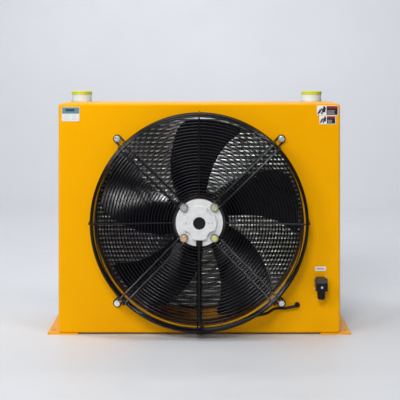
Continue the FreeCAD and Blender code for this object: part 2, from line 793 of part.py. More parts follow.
def rotor_can():
    """Deep-drawn rotor can, open towards the end plate."""
    lead = 3.0
    can = turned([
        (SHAFT_REAR_R, CAN_BACK),
        (CAN_R - 6.0, CAN_BACK),
        (CAN_R, CAN_BACK + 6.0),
        (CAN_R, CAN_FRONT - lead),
        (CAN_R - 1.0, CAN_FRONT),
        (CAN_IN_R, CAN_FRONT),
        (CAN_IN_R, CAN_BACK + CAN_FLOOR + 3.0),
        (CAN_IN_R - 3.0, CAN_BACK + CAN_FLOOR),
        (SHAFT_REAR_R + 8.0, CAN_BACK + CAN_FLOOR),
        (SHAFT_REAR_R + 5.0, CAN_BACK + CAN_FLOOR + 8.0),
        (SHAFT_REAR_R, CAN_BACK + CAN_FLOOR + 8.0),
    ])
    holes = [rod_radial(2.5 + CLEAR, CAN_IN_R - 2.0, CAN_R + 2.0, angle) for angle in hub_screw_angles()]
    return can.cut(Part.makeCompound(holes))


def rotor_cage_ring():
    """Short-circuit cage ring pressed into the can around the stator."""
    return pipe(0, FAN_Z, CAN_IN_R, CAGE_IN_R, STATOR_FRONT + 2.0, STATOR_BACK - 2.0)


def hub_screw_angles():
    """Angles of the screws between the blade roots."""
    return [67.5 + 360.0 / BLADES * i for i in range(BLADES)]


def rod_radial(radius, r_from, r_to, angle):
    """Cylinder that points away from the fan axis, at the middle of the hub ring."""
    middle = (HUB_RING_FRONT + HUB_RING_BACK) / 2
    start = polar(r_from, angle, middle)
    outward = (polar(r_to, angle, middle) - start).normalize()
    return Part.makeCylinder(radius, r_to - r_from, start, outward)


def impeller_hub_ring():
    """Steel band around the can that the blades are welded to."""
    ring = pipe(0, FAN_Z, HUB_RING_R, CAN_R, HUB_RING_FRONT, HUB_RING_BACK)
    holes = [rod_radial(2.5 + CLEAR, CAN_R - 2.0, HUB_RING_R + 2.0, angle) for angle in hub_screw_angles()]
    return ring.cut(Part.makeCompound(holes))


def hub_screws():
    """Low-head screws that hold the band on the can."""
    solids = []
    for angle in hub_screw_angles():
        shank = rod_radial(2.5, CAN_IN_R + 0.3, HUB_RING_R + 1.0, angle)
        head = rod_radial(4.5, HUB_RING_R + CLEAR, HUB_RING_R + 2.4, angle)
        recess = rod_radial(1.5, HUB_RING_R + 1.0, HUB_RING_R + 3.0, angle)
        solids.append(shank.fuse(head).cut(recess))
    return solids


def trailing_angle(radius):
    """Angle of the trailing edge, which sweeps back in a gentle curve."""
    out = radius - 79.4
    return 60.0 - 0.205 * out + 0.0001 * out * out


def leading_angle(radius):
    """Angle of the leading edge, a sickle curve that runs forward towards the tip."""
    out = radius - 85.0
    return 4.2 - 0.00053 * out * out


def blade_stations():
    """(radius, corner cut) from root to tip; the last stations round the tip corners."""
    plain_end = BLADE_TIP_R - BLADE_TIP_CORNER
    spans = 8
    stations = []
    for i in range(spans):
        stations.append((BLADE_ROOT_R + (plain_end - BLADE_ROOT_R) * i / spans, 0.0))
    for i in range(5):
        turn = math.radians(22.5 * i)
        radius = plain_end + BLADE_TIP_CORNER * math.sin(turn)
        stations.append((radius, BLADE_TIP_CORNER * (1 - math.cos(turn))))
    return stations


def blade_mid_point(radius, cut, share):
    """Point of the blade's middle surface; share runs from the trailing edge (0) to the leading edge (1)."""
    cut_angle = math.degrees(cut / radius)
    trailing = trailing_angle(radius) - cut_angle
    leading = leading_angle(radius) + cut_angle
    out = (radius - BLADE_ROOT_R) / (BLADE_TIP_R - BLADE_ROOT_R)
    whole = trailing_angle(radius) - leading_angle(radius)
    real_share = (trailing_angle(radius) - (trailing + (leading - trailing) * share)) / whole
    front_edge = -4.0 - 5.0 * out
    rear_edge = -54.0 + 9.0 * out
    camber = 9.0 - 2.0 * out
    chord_line = front_edge + (rear_edge - front_edge) * real_share
    front = chord_line - camber * 2 * real_share * (1 - real_share)
    return polar(radius, trailing + (leading - trailing) * share, front)


def fan_blade(index):
    """Sickle blade: two smooth skins one sheet apart, closed along all four edges."""
    shares = [i / 8.0 for i in range(9)]
    stations = blade_stations()
    mid = [[blade_mid_point(radius, cut, share) for share in shares] for radius, cut in stations]

    def skin(offset):
        grid = []
        for i, row in enumerate(mid):
            new_row = []
            for j, point in enumerate(row):
                along = mid[min(i + 1, len(mid) - 1)][j] - mid[max(i - 1, 0)][j]
                across = row[min(j + 1, len(row) - 1)] - row[max(j - 1, 0)]
                normal = along.cross(across).normalize()
                new_row.append(point + normal * offset)
            grid.append(new_row)
        surface = Part.BSplineSurface()
        surface.approximate(Points=grid, DegMin=3, DegMax=8, Continuity=2, Tolerance=BLADE_FAIRING)
        return surface

    skins = [skin(-BLADE_THICK / 2), skin(BLADE_THICK / 2)]
    u0, u1, v0, v1 = skins[0].bounds()
    faces = [s.toShape() for s in skins]
    for u in (u0, u1):
        faces.append(Part.makeRuledSurface(skins[0].uIso(u).toShape(), skins[1].uIso(u).toShape()))
    for v in (v0, v1):
        faces.append(Part.makeRuledSurface(skins[0].vIso(v).toShape(), skins[1].vIso(v).toShape()))
    joined = Part.makeCompound(faces)
    joined.sewShape()
    blade = Part.makeSolid(joined.Shells[0])
    return spun(blade, 360.0 / BLADES * index)


# ---- oil core ----
def header_tank(side):
    """Hollow header tank with a slot for every tube, screw pads inside and the port bore on top."""
    x = CORE_X + side * TANK_OFFSET
    x0 = x - TANK_WIDTH / 2
    x1 = x + TANK_WIDTH / 2
    y0 = REAR_Y
    y1 = REAR_Y + CORE_DEPTH
    tank = block(x0, x1, y0, y1, TANK_BOTTOM, TANK_TOP)
    upright = [e for e in tank.Edges if abs(e.tangentAt(e.FirstParameter).z) > 0.9]
    outer = [e for e in upright if abs(e.Vertexes[0].X - (x + side * TANK_WIDTH / 2)) < 1e-6]
    tank = tank.makeFillet(6.0, outer)
    wall = TANK_WALL
    tank = tank.cut(block(x0 + wall, x1 - wall, y0 + wall, y1 - wall, TANK_BOTTOM + wall, TANK_TOP - wall))
    for px, pz in core_screw_places():
        if abs(px - x) < 1.0:
            tank = tank.fuse(Part.makeCylinder(9.0, 14.0, V(px, y0 + wall - 1.0, pz), V(0, 1, 0)))
            tank = tank.cut(Part.makeCylinder(4.0 + CLEAR, 15.0, V(px, y0 - 1.0, pz), V(0, 1, 0)))
    passage_r = PORT_MINOR_R + 1.5
    tank = tank.cut(Part.makeCylinder(passage_r, 3 * wall, V(x, y0 + CORE_DEPTH / 2, TANK_TOP - 2 * wall)))
    slots = []
    inner_face = x - side * TANK_WIDTH / 2
    for z in tube_heights():
        low = min(inner_face - side * 1.0, inner_face + side * (wall + 1.0))
        slots.append(flat_tube_bar(low, low + wall + 2.0, z, TUBE_THICK + 2 * CLEAR, TUBE_DEPTH + 2 * CLEAR))
    return tank.cut(Part.makeCompound(slots))


def tube_heights():
    """Z of the middle of every oil tube."""
    low = TANK_BOTTOM + SIDE_PLATE
    high = TANK_TOP - SIDE_PLATE
    fin_height = (high - low - TUBES * TUBE_THICK) / (TUBES + 1)
    pitch = fin_height + TUBE_THICK
    return [low + fin_height + TUBE_THICK / 2 + pitch * i for i in range(TUBES)]


def flat_tube_bar(x0, x1, z, thick, depth):
    """Bar with rounded front and rear edges, along X."""
    y_mid = REAR_Y + CORE_DEPTH / 2
    radius = thick / 2
    front = y_mid - depth / 2 + radius
    rear = y_mid + depth / 2 - radius
    edges = [
        Part.makeLine(V(x0, front, z - radius), V(x0, rear, z - radius)),
        Part.Arc(V(x0, rear, z - radius), V(x0, rear + radius, z), V(x0, rear, z + radius)).toShape(),
        Part.makeLine(V(x0, rear, z + radius), V(x0, front, z + radius)),
        Part.Arc(V(x0, front, z + radius), V(x0, front - radius, z), V(x0, front, z - radius)).toShape(),
    ]
    return Part.Face(Part.Wire(edges)).extrude(V(x1 - x0, 0, 0))


def core_tubes():
    """Flat oil tubes from tank to tank."""
    reach = TANK_OFFSET - TANK_WIDTH / 2 + TANK_WALL
    solids = []
    for z in tube_heights():
        outer = flat_tube_bar(CORE_X - reach, CORE_X + reach, z, TUBE_THICK, TUBE_DEPTH)
        inner = flat_tube_bar(
            CORE_X - reach - 1.0,
            CORE_X + reach + 1.0,
            z,
            TUBE_THICK - 2 * TUBE_WALL,
            TUBE_DEPTH - 2 * TUBE_WALL,
        )
        solids.append(outer.cut(inner))
    return solids


def fin_layers():
    """(low Z, high Z) of every space between the tubes and the side plates."""
    edges = [TANK_BOTTOM + SIDE_PLATE]
    for z in tube_heights():
        edges.append(z - TUBE_THICK / 2)
        edges.append(z + TUBE_THICK / 2)
    edges.append(TANK_TOP - SIDE_PLATE)
    return list(zip(edges[0::2], edges[1::2]))


def air_fins():
    """Folded fin strips, one zigzag sheet in every layer."""
    half = TANK_OFFSET - TANK_WIDTH / 2 - 1.0
    y0 = REAR_Y + (CORE_DEPTH - TUBE_DEPTH) / 2 + 1.0
    depth = TUBE_DEPTH - 2.0
    pitch = 2 * half / (2 * FIN_FOLDS)
    solids = []
    for low, high in fin_layers():
        bottom = low + CLEAR
        top = high - CLEAR
        lower = []
        upper = []
        for i in range(2 * FIN_FOLDS + 1):
            x = CORE_X - half + pitch * i
            ridge = i % 2
            rise = pitch / (top - bottom)
            thick = FIN_SHEET * math.sqrt(1 + 1 / (rise * rise))
            crest = top - thick if ridge else bottom
            lower.append(V(x, y0, crest))
            upper.append(V(x, y0, crest + thick))
        outline = lower + upper[::-1] + lower[:1]
        solids.append(Part.Face(Part.makePolygon(outline)).extrude(V(0, depth, 0)))
    return solids


def core_side_plate(z0):
    """Plate that closes the core above or below its fins."""
    half = TANK_OFFSET - TANK_WIDTH / 2
    left = CORE_X - half + CLEAR
    right = CORE_X + half - CLEAR
    return block(left, right, REAR_Y, REAR_Y + CORE_DEPTH, z0, z0 + SIDE_PLATE)


def core_screws():
    """M8 screws through the rear flange into the tank pads, heads inside the case."""
    solids = []
    seat_y = REAR_Y - SHEET - CLEAR - WASHER_THICK - CLEAR
    for x, z in core_screw_places():
        front = PANEL_Y - seat_y
        solids.append(y_hex_screw(x, z, front, 4.0, PANEL_Y - (REAR_Y + 13.0), 13.0, 5.3))
    return solids


def core_washers():
    """Flat washers under the core screws."""
    front = PANEL_Y - (REAR_Y - SHEET - CLEAR)
    return [pipe(x, z, 8.5, 4.2, front, front + WASHER_THICK) for x, z in core_screw_places()]


def port_boss(side):
    """Round welded boss with the oil-port thread, drawn at its minor diameter."""
    x = CORE_X + side * TANK_OFFSET
    y = REAR_Y + CORE_DEPTH / 2
    boss = Part.makeCylinder(BOSS_R, BOSS_HEIGHT, V(x, y, TANK_TOP))
    top = [e for e in boss.Edges if e.Closed and abs(e.Vertexes[0].Z - TANK_TOP - BOSS_HEIGHT) < 1e-6]
    boss = boss.makeChamfer(0.8, top)
    boss = boss.cut(Part.makeCylinder(PORT_MINOR_R, 3 * BOSS_HEIGHT, V(x, y, TANK_TOP - BOSS_HEIGHT)))
    lead_in = Part.makeCone(PORT_MINOR_R, PORT_MINOR_R + 2.0, 2.0, V(x, y, TANK_TOP + BOSS_HEIGHT - 2.0))
    return boss.cut(lead_in)


def port_cap(side):
    """Press-on plastic cap that closes the top of a boss."""
    x = CORE_X + side * TANK_OFFSET
    y = REAR_Y + CORE_DEPTH / 2
    cap = Part.makeCylinder(CAP_R, CAP_TOP - CAP_BOTTOM, V(x, y, CAP_BOTTOM))
    top = [e for e in cap.Edges if e.Closed and abs(e.Vertexes[0].Z - CAP_TOP) < 1e-6]
    cap = cap.makeFillet(1.5, top)
    hollow = Part.makeCylinder(BOSS_R + 0.1, CAP_TOP - CAP_ROOF - CAP_BOTTOM + 1.0, V(x, y, CAP_BOTTOM - 1.0))
    return cap.cut(hollow)


# ---- motor cable and its fittings ----
def cable_front(radius):
    """Height of the cable centre when it lies in the groove of the paired ribs."""
    reach = CABLE_R + RIB_WIRE_R
    nest = math.sqrt(reach * reach - RIB_PAIR_HALF * RIB_PAIR_HALF)
    return face_front(radius) + FACE_WIRE_R + RIB_WIRE_R - WELD_DEPTH + nest + 0.25


def motor_cable():
    """Sheathed cable: down the paired ribs, along the rim, past the clamp eye and into the panel grommet."""
    groove_start = 80.0
    groove_end = 232.0
    rim = FACE_RIM_FRONT + FACE_WIRE_R + CABLE_R + 0.5
    start = V(0, y_at(CABLE_EXIT_FRONT), FAN_Z - 37.0)
    gland_end = V(0, y_at(CABLE_EXIT_FRONT), FAN_Z - 60.0)
    end = V(GROMMET_X, y_at(-18.0), GROMMET_Z)
    grommet_bend = V(GROMMET_X, y_at(-3.0), GROMMET_Z)
    points = [gland_end, V(0, y_at(CABLE_EXIT_FRONT), FAN_Z - 64.0)]
    run = (
        (groove_start, 270.0, cable_front(groove_start) + 0.3),
        (groove_end, 270.0, cable_front(groove_end)),
        (251.0, 272.0, cable_front(251.0)),
        (253.0, 280.0, rim + 1.0),
        (253.0, 289.0, rim + 0.3),
        (253.0, 297.0, rim + 0.3),
        (256.0, 302.0, rim),
        (264.0, 305.2, 60.0),
        (270.5, 307.6, 49.0),
        (274.0, 309.2, 36.0),
        (278.0, 310.6, 22.0),
        (286.0, 312.4, 11.5),
        (297.0, 314.3, 9.5),
    )
    points += [polar(radius, angle, front) for radius, angle, front in run]
    points += [V(GROMMET_X, y_at(11.5), GROMMET_Z), grommet_bend]
    edges = [Part.makeLine(start, gland_end)] + flowing_path(points) + [Part.makeLine(grommet_bend, end)]
    return swept_round(Part.Wire(edges), CABLE_R)


def motor_cable_gland():
    """Gland screwed into the side of the plateau."""
    neck = radial_down(GLAND_NECK_R, PLATEAU_R - 4.0, PLATEAU_R + 2.0, CABLE_EXIT_FRONT)
    body = radial_down(7.2, PLATEAU_R + 0.6, PLATEAU_R + 15.0, CABLE_EXIT_FRONT)
    tip = Part.makeCone(7.2, 5.6, 3.0, V(0, y_at(CABLE_EXIT_FRONT), FAN_Z - PLATEAU_R - 15.0), V(0, 0, -1))
    bore = radial_down(CABLE_R + 0.12, PLATEAU_R - 8.0, PLATEAU_R + 25.0, CABLE_EXIT_FRONT)
    return neck.multiFuse([body, tip]).cut(bore)


def cable_ties():
    """Ties around the cable and the paired ribs, each in a gap between two face rings."""
    radii = face_ring_radii()
    slope = math.atan((FACE_RIM_FRONT - FACE_HUB_FRONT) / (FACE_RIM_R - FACE_HUB_R))
    down = V(0, -math.sin(slope), -math.cos(slope))
    outward = V(0, -math.cos(slope), math.sin(slope))
    ties = []
    for i in (4, 11, 18):
        radius = (radii[i] + radii[i + 1]) / 2
        rib_front = face_front(radius) + FACE_WIRE_R + RIB_WIRE_R - WELD_DEPTH
        centre = polar(radius, 270.0, rib_front) + outward * 3.4 - down * 1.6
        ring = Part.makeCylinder(8.9, 3.2, centre, down).cut(Part.makeCylinder(7.7, 3.2, centre, down))
        head = Part.makeBox(6.0, 4.5, 4.4)
        head.translate(V(-3.0, -2.25, -0.6))
        turn = FreeCAD.Rotation(V(1, 0, 0), outward, down, "XYZ")
        head.Placement = FreeCAD.Placement(centre + outward * 10.6, turn).multiply(head.Placement)
        ties.append(ring.fuse(head))
    return ties


def panel_grommet():
    """Rubber grommet in the panel hole."""
    x = GROMMET_X
    z = GROMMET_Z
    grommet = rod(x, z, GROMMET_R, CLEAR, 2.6)
    grommet = grommet.fuse(rod(x, z, GROMMET_NECK_R, CLEAR, -SHEET - CLEAR))
    grommet = grommet.fuse(rod(x, z, GROMMET_R, -SHEET - CLEAR, -SHEET - 2.4))
    return grommet.cut(rod(x, z, CABLE_R + 0.15, 5.0, -8.0))


def blade_contact_places():
    """X, Z of the contact blades of the plug base."""
    return ((PLUG_X - 5.5, PLUG_Z), (PLUG_X + 5.5, PLUG_Z), (PLUG_X, PLUG_Z + 5.5))


def inner_wiring():
    """Three cores from the end of the cable sheath to the contact tails."""
    starts = ((-1.3, -1.0), (1.3, -1.0), (0.0, 1.4))
    wires = []
    for (dx, dz), (bx, bz) in zip(starts, blade_contact_places()):
        points = [
            V(GROMMET_X + dx, y_at(-18.1), GROMMET_Z + dz),
            V(GROMMET_X + dx, y_at(-24.0), GROMMET_Z + dz),
            V(GROMMET_X + 14.0 + dx, y_at(-35.0), GROMMET_Z + 10.0 + dz),
            V(bx - 14.0, y_at(-35.0), bz - 10.0),
            V(bx, y_at(-26.0), bz),
            V(bx, y_at(-17.2), bz),
        ]
        wires.append(swept_round(Part.Wire(flowing_path(points)), 1.1))
    return wires


# ---- electrical plug ----
def connector_base():
    """Panel base with a raised tongue in front and a terminal block behind the panel."""
    half = 14.0
    base = block(PLUG_X - half, PLUG_X + half, y_at(BASE_FRONT), y_at(CLEAR), PLUG_Z - half, PLUG_Z + half)
    upright = [e for e in base.Edges if abs(e.tangentAt(e.FirstParameter).y) > 0.9]
    base = base.makeFillet(2.0, upright)
    base = base.fuse(rod(PLUG_X, PLUG_Z, 10.4, CLEAR, -9.0))
    tongue = block(PLUG_X - 9.0, PLUG_X + 9.0, y_at(14.0), y_at(BASE_FRONT - 1.0), PLUG_Z - 9.0, PLUG_Z + 9.0)
    base = base.fuse(tongue)
    tools = []
    for x, z in blade_contact_places():
        tools.append(block(x - 0.5, x + 0.5, y_at(15.0), y_at(-10.0), z - 3.2, z + 3.2))
    for x, z in base_screw_places():
        tools.append(rod(x, z, 1.6, -1.0, BASE_FRONT + 1.0))
        tools.append(rod(x, z, 2.9, BASE_FRONT - 2.6, BASE_FRONT + 1.0))
    tools.append(rod(PLUG_X, PLUG_Z - 4.5, 1.5 + CLEAR, 1.0, 15.0))
    return base.cut(Part.makeCompound(tools))


def base_screws():
    """Four M3 screws, sunk into the base, with their nuts' length behind the panel."""
    solids = []
    for x, z in base_screw_places():
        head = rod(x, z, 2.75, BASE_FRONT - 2.5, BASE_FRONT - 0.4)
        slot = block(x - 2.8, x + 2.8, y_at(BASE_FRONT), y_at(BASE_FRONT - 1.0), z - 0.3, z + 0.3)
        solids.append(head.fuse(rod(x, z, 1.5, BASE_FRONT - 2.5, -9.0)).cut(slot))
    return solids


def base_nuts():
    """M3 nuts behind the panel."""
    solids = []
    for x, z in base_screw_places():
        nut = hex_prism(x, z, 5.5, -SHEET - CLEAR, -SHEET - 2.4)
        solids.append(nut.cut(rod(x, z, 1.5 + CLEAR, 0.0, -9.0)))
    return solids


def contact_blades():
    """Flat contact blades with tails behind the panel."""
    solids = []
    for x, z in blade_contact_places():
        solids.append(block(x - 0.4, x + 0.4, y_at(22.0), y_at(-17.0), z - 3.1, z + 3.1))
    return solids


def connector_gasket():
    """Flat profile gasket between the base and the plug."""
    half = 13.8
    low = BASE_FRONT + CLEAR
    high = BASE_FRONT + GASKET_THICK - CLEAR
    outer = block(PLUG_X - half, PLUG_X + half, y_at(high), y_at(low), PLUG_Z - half, PLUG_Z + half)
    upright = [e for e in outer.Edges if abs(e.tangentAt(e.FirstParameter).y) > 0.9]
    outer = outer.makeFillet(2.0, upright)
    hole = block(PLUG_X - 9.3, PLUG_X + 9.3, y_at(high + 1.0), y_at(low - 1.0), PLUG_Z - 9.3, PLUG_Z + 9.3)
    return outer.cut(hole)


def connector_plug():
    """Square plug housing, sloped at the top, with the cable boss below."""
    half = PLUG_WIDTH / 2
    back = BASE_FRONT + GASKET_THICK
    bottom = PLUG_Z - half
    top = bottom + PLUG_HEIGHT
    side_outline = [
        V(PLUG_X - half, y_at(back), bottom),
        V(PLUG_X - half, y_at(PLUG_FRONT), bottom),
        V(PLUG_X - half, y_at(PLUG_FRONT), top - 9.0),
        V(PLUG_X - half, y_at(PLUG_FRONT - 9.0), top),
        V(PLUG_X - half, y_at(back + 8.0), top),
        V(PLUG_X - half, y_at(back), PLUG_Z + half),
    ]
    body = Part.Face(Part.makePolygon(side_outline + side_outline[:1])).extrude(V(PLUG_WIDTH, 0, 0))
    upright = [e for e in body.Edges if abs(e.tangentAt(e.FirstParameter).x) < 0.1]
    body = body.makeFillet(1.6, upright)
    boss = Part.makeCylinder(8.2, 6.0, V(PLUG_X, y_at(GLAND_FRONT), bottom - 5.0))
    body = body.fuse(boss)
    tools = [
        block(PLUG_X - 9.4, PLUG_X + 9.4, y_at(27.0), y_at(back - 1.0), PLUG_Z - 9.4, PLUG_Z + 9.4),
        rod(PLUG_X, PLUG_Z - 4.5, 1.8, back, PLUG_FRONT + 1.0),
        rod(PLUG_X, PLUG_Z - 4.5, 3.0, PLUG_FRONT - 3.0, PLUG_FRONT + 1.0),
        Part.makeCylinder(ENTRY_R + 0.5, 18.0, V(PLUG_X, y_at(GLAND_FRONT), bottom - 6.0)),
        Part.makeCylinder(6.2, 5.0, V(PLUG_X, y_at(GLAND_FRONT), bottom - 6.0)),
    ]
    return body.cut(Part.makeCompound(tools))


def connector_screw():
    """Long slotted screw through the plug into the base."""
    x = PLUG_X
    z = PLUG_Z - 4.5
    head = rod(x, z, 2.75, PLUG_FRONT - 3.0 + CLEAR, PLUG_FRONT + 0.6)
    slot = block(x - 4.0, x + 4.0, y_at(PLUG_FRONT + 1.0), y_at(PLUG_FRONT - 0.6), z - 0.5, z + 0.5)
    return head.fuse(rod(x, z, 1.5, PLUG_FRONT - 2.0, 2.0)).cut(slot)


def gland_seal():
    """Rubber sealing ring inside the plug's cable boss."""
    bottom = PLUG_Z - PLUG_WIDTH / 2
    ring = Part.makeCylinder(6.0, 3.6, V(PLUG_X, y_at(GLAND_FRONT), bottom - 4.8))
    return ring.cut(Part.makeCylinder(ENTRY_R + 0.2, 6.0, V(PLUG_X, y_at(GLAND_FRONT), bottom - 6.0)))


def gland_nut():
    """Fluted gland nut over the cable boss."""
    bottom = PLUG_Z - PLUG_WIDTH / 2
    y = y_at(GLAND_FRONT)
    length = 21.0
    nut = Part.makeCylinder(GLAND_R + 0.6, length - 3.0, V(PLUG_X, y, bottom - length + 2.0))
    nose = Part.makeCone(GLAND_R - 1.5, GLAND_R + 0.6, 3.0, V(PLUG_X, y, bottom - length - 1.0))
    nut = nut.fuse(nose)
    nut = nut.cut(Part.makeCylinder(8.3, 20.0, V(PLUG_X, y, bottom - 5.2)))
    flutes = []
    for i in range(12):
        angle = math.radians(30.0 * i)
        at = V(PLUG_X + 11.0 * math.cos(angle), y + 11.0 * math.sin(angle), bottom - length + 1.0)
        flutes.append(Part.makeCylinder(1.7, length, at))
    entry = Part.makeCylinder(ENTRY_R, 30.0, V(PLUG_X, y, bottom - 25.0))
    return nut.cut(Part.makeCompound(flutes + [entry]))


# ---- labels ----
STICKER_PLACES = (
    (288.0, 340.0, 537.0, 561.0),
    (294.0, 334.0, 515.5, 536.0),
    (283.3, 309.8, 156.2, 166.7),
)


def label(x0, x1, z0, z1, thick):
    """Thin sticker or plate on the panel with rounded corners."""
    plate = block(x0, x1, y_at(thick + CLEAR), y_at(CLEAR), z0, z1)
    upright = [e for e in plate.Edges if abs(e.tangentAt(e.FirstParameter).y) > 0.9]
    return plate.makeFillet(1.5, upright)


def build():
    """Every piece of the cooler, by node name."""
    pieces = {
        "fan_case": fan_case(),
        "foot_left": foot_plate(-1),
        "foot_right": foot_plate(1),
        "foot_screws": foot_screws(),
        "guard_face_rings": guard_face_rings(),
        "guard_side_rings": guard_side_rings(),
        "guard_spokes": guard_hairpins() + guard_ribs(),
        "guard_washers": guard_washers(),
        "guard_screws": guard_screws(),
        "guard_nuts": guard_nuts(),
        "motor_end_plate": motor_end_plate(),
        "motor_centre_plug": motor_centre_plug(),
        "motor_flat_washers": motor_flat_washers(),
        "motor_spring_washers": motor_spring_washers(),
        "motor_bolts": motor_bolts(),
        "stator_core": stator_core(),
        "stator_winding": stator_winding(),
        "bearing_outer_rings": bearing_outer_rings(),
        "bearing_inner_rings": bearing_inner_rings(),
        "bearing_balls": bearing_balls(),
        "bearing_cages": bearing_cages(),
        "wave_washer": wave_washer(),
        "rotor_shaft": rotor_shaft(),
        "shaft_circlip": shaft_circlip(),
        "rotor_can": rotor_can(),
        "rotor_cage_ring": rotor_cage_ring(),
        "impeller_hub_ring": impeller_hub_ring(),
        "hub_screws": hub_screws(),
        "header_tank_left": header_tank(-1),
        "header_tank_right": header_tank(1),
        "core_tubes": core_tubes(),
        "air_fins": air_fins(),
        "core_side_plates": [core_side_plate(z0) for z0 in (TANK_BOTTOM, TANK_TOP - SIDE_PLATE)],
        "core_screws": core_screws(),
        "core_washers": core_washers(),
        "port_boss_left": port_boss(-1),
        "port_boss_right": port_boss(1),
        "port_cap_left": port_cap(-1),
        "port_cap_right": port_cap(1),
        "motor_cable": motor_cable(),
        "motor_cable_gland": motor_cable_gland(),
        "cable_ties": cable_ties(),
        "panel_grommet": panel_grommet(),
        "inner_wiring": inner_wiring(),
        "connector_base": connector_base(),
        "base_screws": base_screws(),
        "base_nuts": base_nuts(),
        "contact_blades": contact_blades(),
        "connector_gasket": connector_gasket(),
        "connector_plug": connector_plug(),
        "connector_screw": connector_screw(),
        "gland_seal": gland_seal(),
        "gland_nut": gland_nut(),
    }
    pieces["nameplate"] = label(-336.5, -293.5, 522.5, 557.5, 0.6)
    pieces["stickers"] = [label(*place, 0.3) for place in STICKER_PLACES]
    for index in range(BLADES):
        pieces[f"fan_blade_{index + 1}"] = fan_blade(index)
    return pieces


def main():
    """Write one STEP file for every piece."""
    os.makedirs("parts", exist_ok=True)
    for name, shape in build().items():
        solids = shape if isinstance(shape, list) else [shape]
        Part.makeCompound(solids).exportStep(f"parts/{name}.step")


main()
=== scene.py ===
"""Looks of an air-blast hydraulic oil cooler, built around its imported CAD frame.

Metres, X right, Y rear, Z up.
"""
import json
import math
import random

import bmesh
import bpy
from mathutils import Matrix, Vector


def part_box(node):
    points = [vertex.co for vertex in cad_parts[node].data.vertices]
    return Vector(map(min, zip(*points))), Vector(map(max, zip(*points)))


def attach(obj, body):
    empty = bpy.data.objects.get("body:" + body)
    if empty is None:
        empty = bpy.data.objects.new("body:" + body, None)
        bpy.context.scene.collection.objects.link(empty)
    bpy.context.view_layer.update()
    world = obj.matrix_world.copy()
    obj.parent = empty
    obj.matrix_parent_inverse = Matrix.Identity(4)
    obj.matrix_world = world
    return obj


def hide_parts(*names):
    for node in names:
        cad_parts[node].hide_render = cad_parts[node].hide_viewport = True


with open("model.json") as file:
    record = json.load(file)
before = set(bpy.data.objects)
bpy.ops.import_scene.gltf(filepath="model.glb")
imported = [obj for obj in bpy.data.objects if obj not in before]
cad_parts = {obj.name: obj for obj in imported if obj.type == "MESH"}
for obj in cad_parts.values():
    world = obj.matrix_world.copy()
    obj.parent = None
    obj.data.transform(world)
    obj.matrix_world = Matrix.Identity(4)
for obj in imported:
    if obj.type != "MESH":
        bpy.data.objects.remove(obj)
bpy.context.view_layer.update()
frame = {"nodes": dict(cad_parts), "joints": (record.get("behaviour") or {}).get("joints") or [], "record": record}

MM = 0.001
random.seed(7)

# ---- places taken from the frame ----
PANEL_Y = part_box("fan_case")[0].y
FAN = Vector(next(j for j in frame["joints"] if j["name"] == "fan_spin")["pos_m"])


def front(distance):
    """Y of a point that stands this many millimetres in front of the case panel."""
    return PANEL_Y - distance * MM


def polar(radius, angle_deg, distance):
    """Point round the fan axis, in millimetres and degrees, this far in front of the panel."""
    turn = math.radians(angle_deg)
    x = FAN.x + radius * MM * math.cos(turn)
    return Vector((x, front(distance), FAN.z + radius * MM * math.sin(turn)))


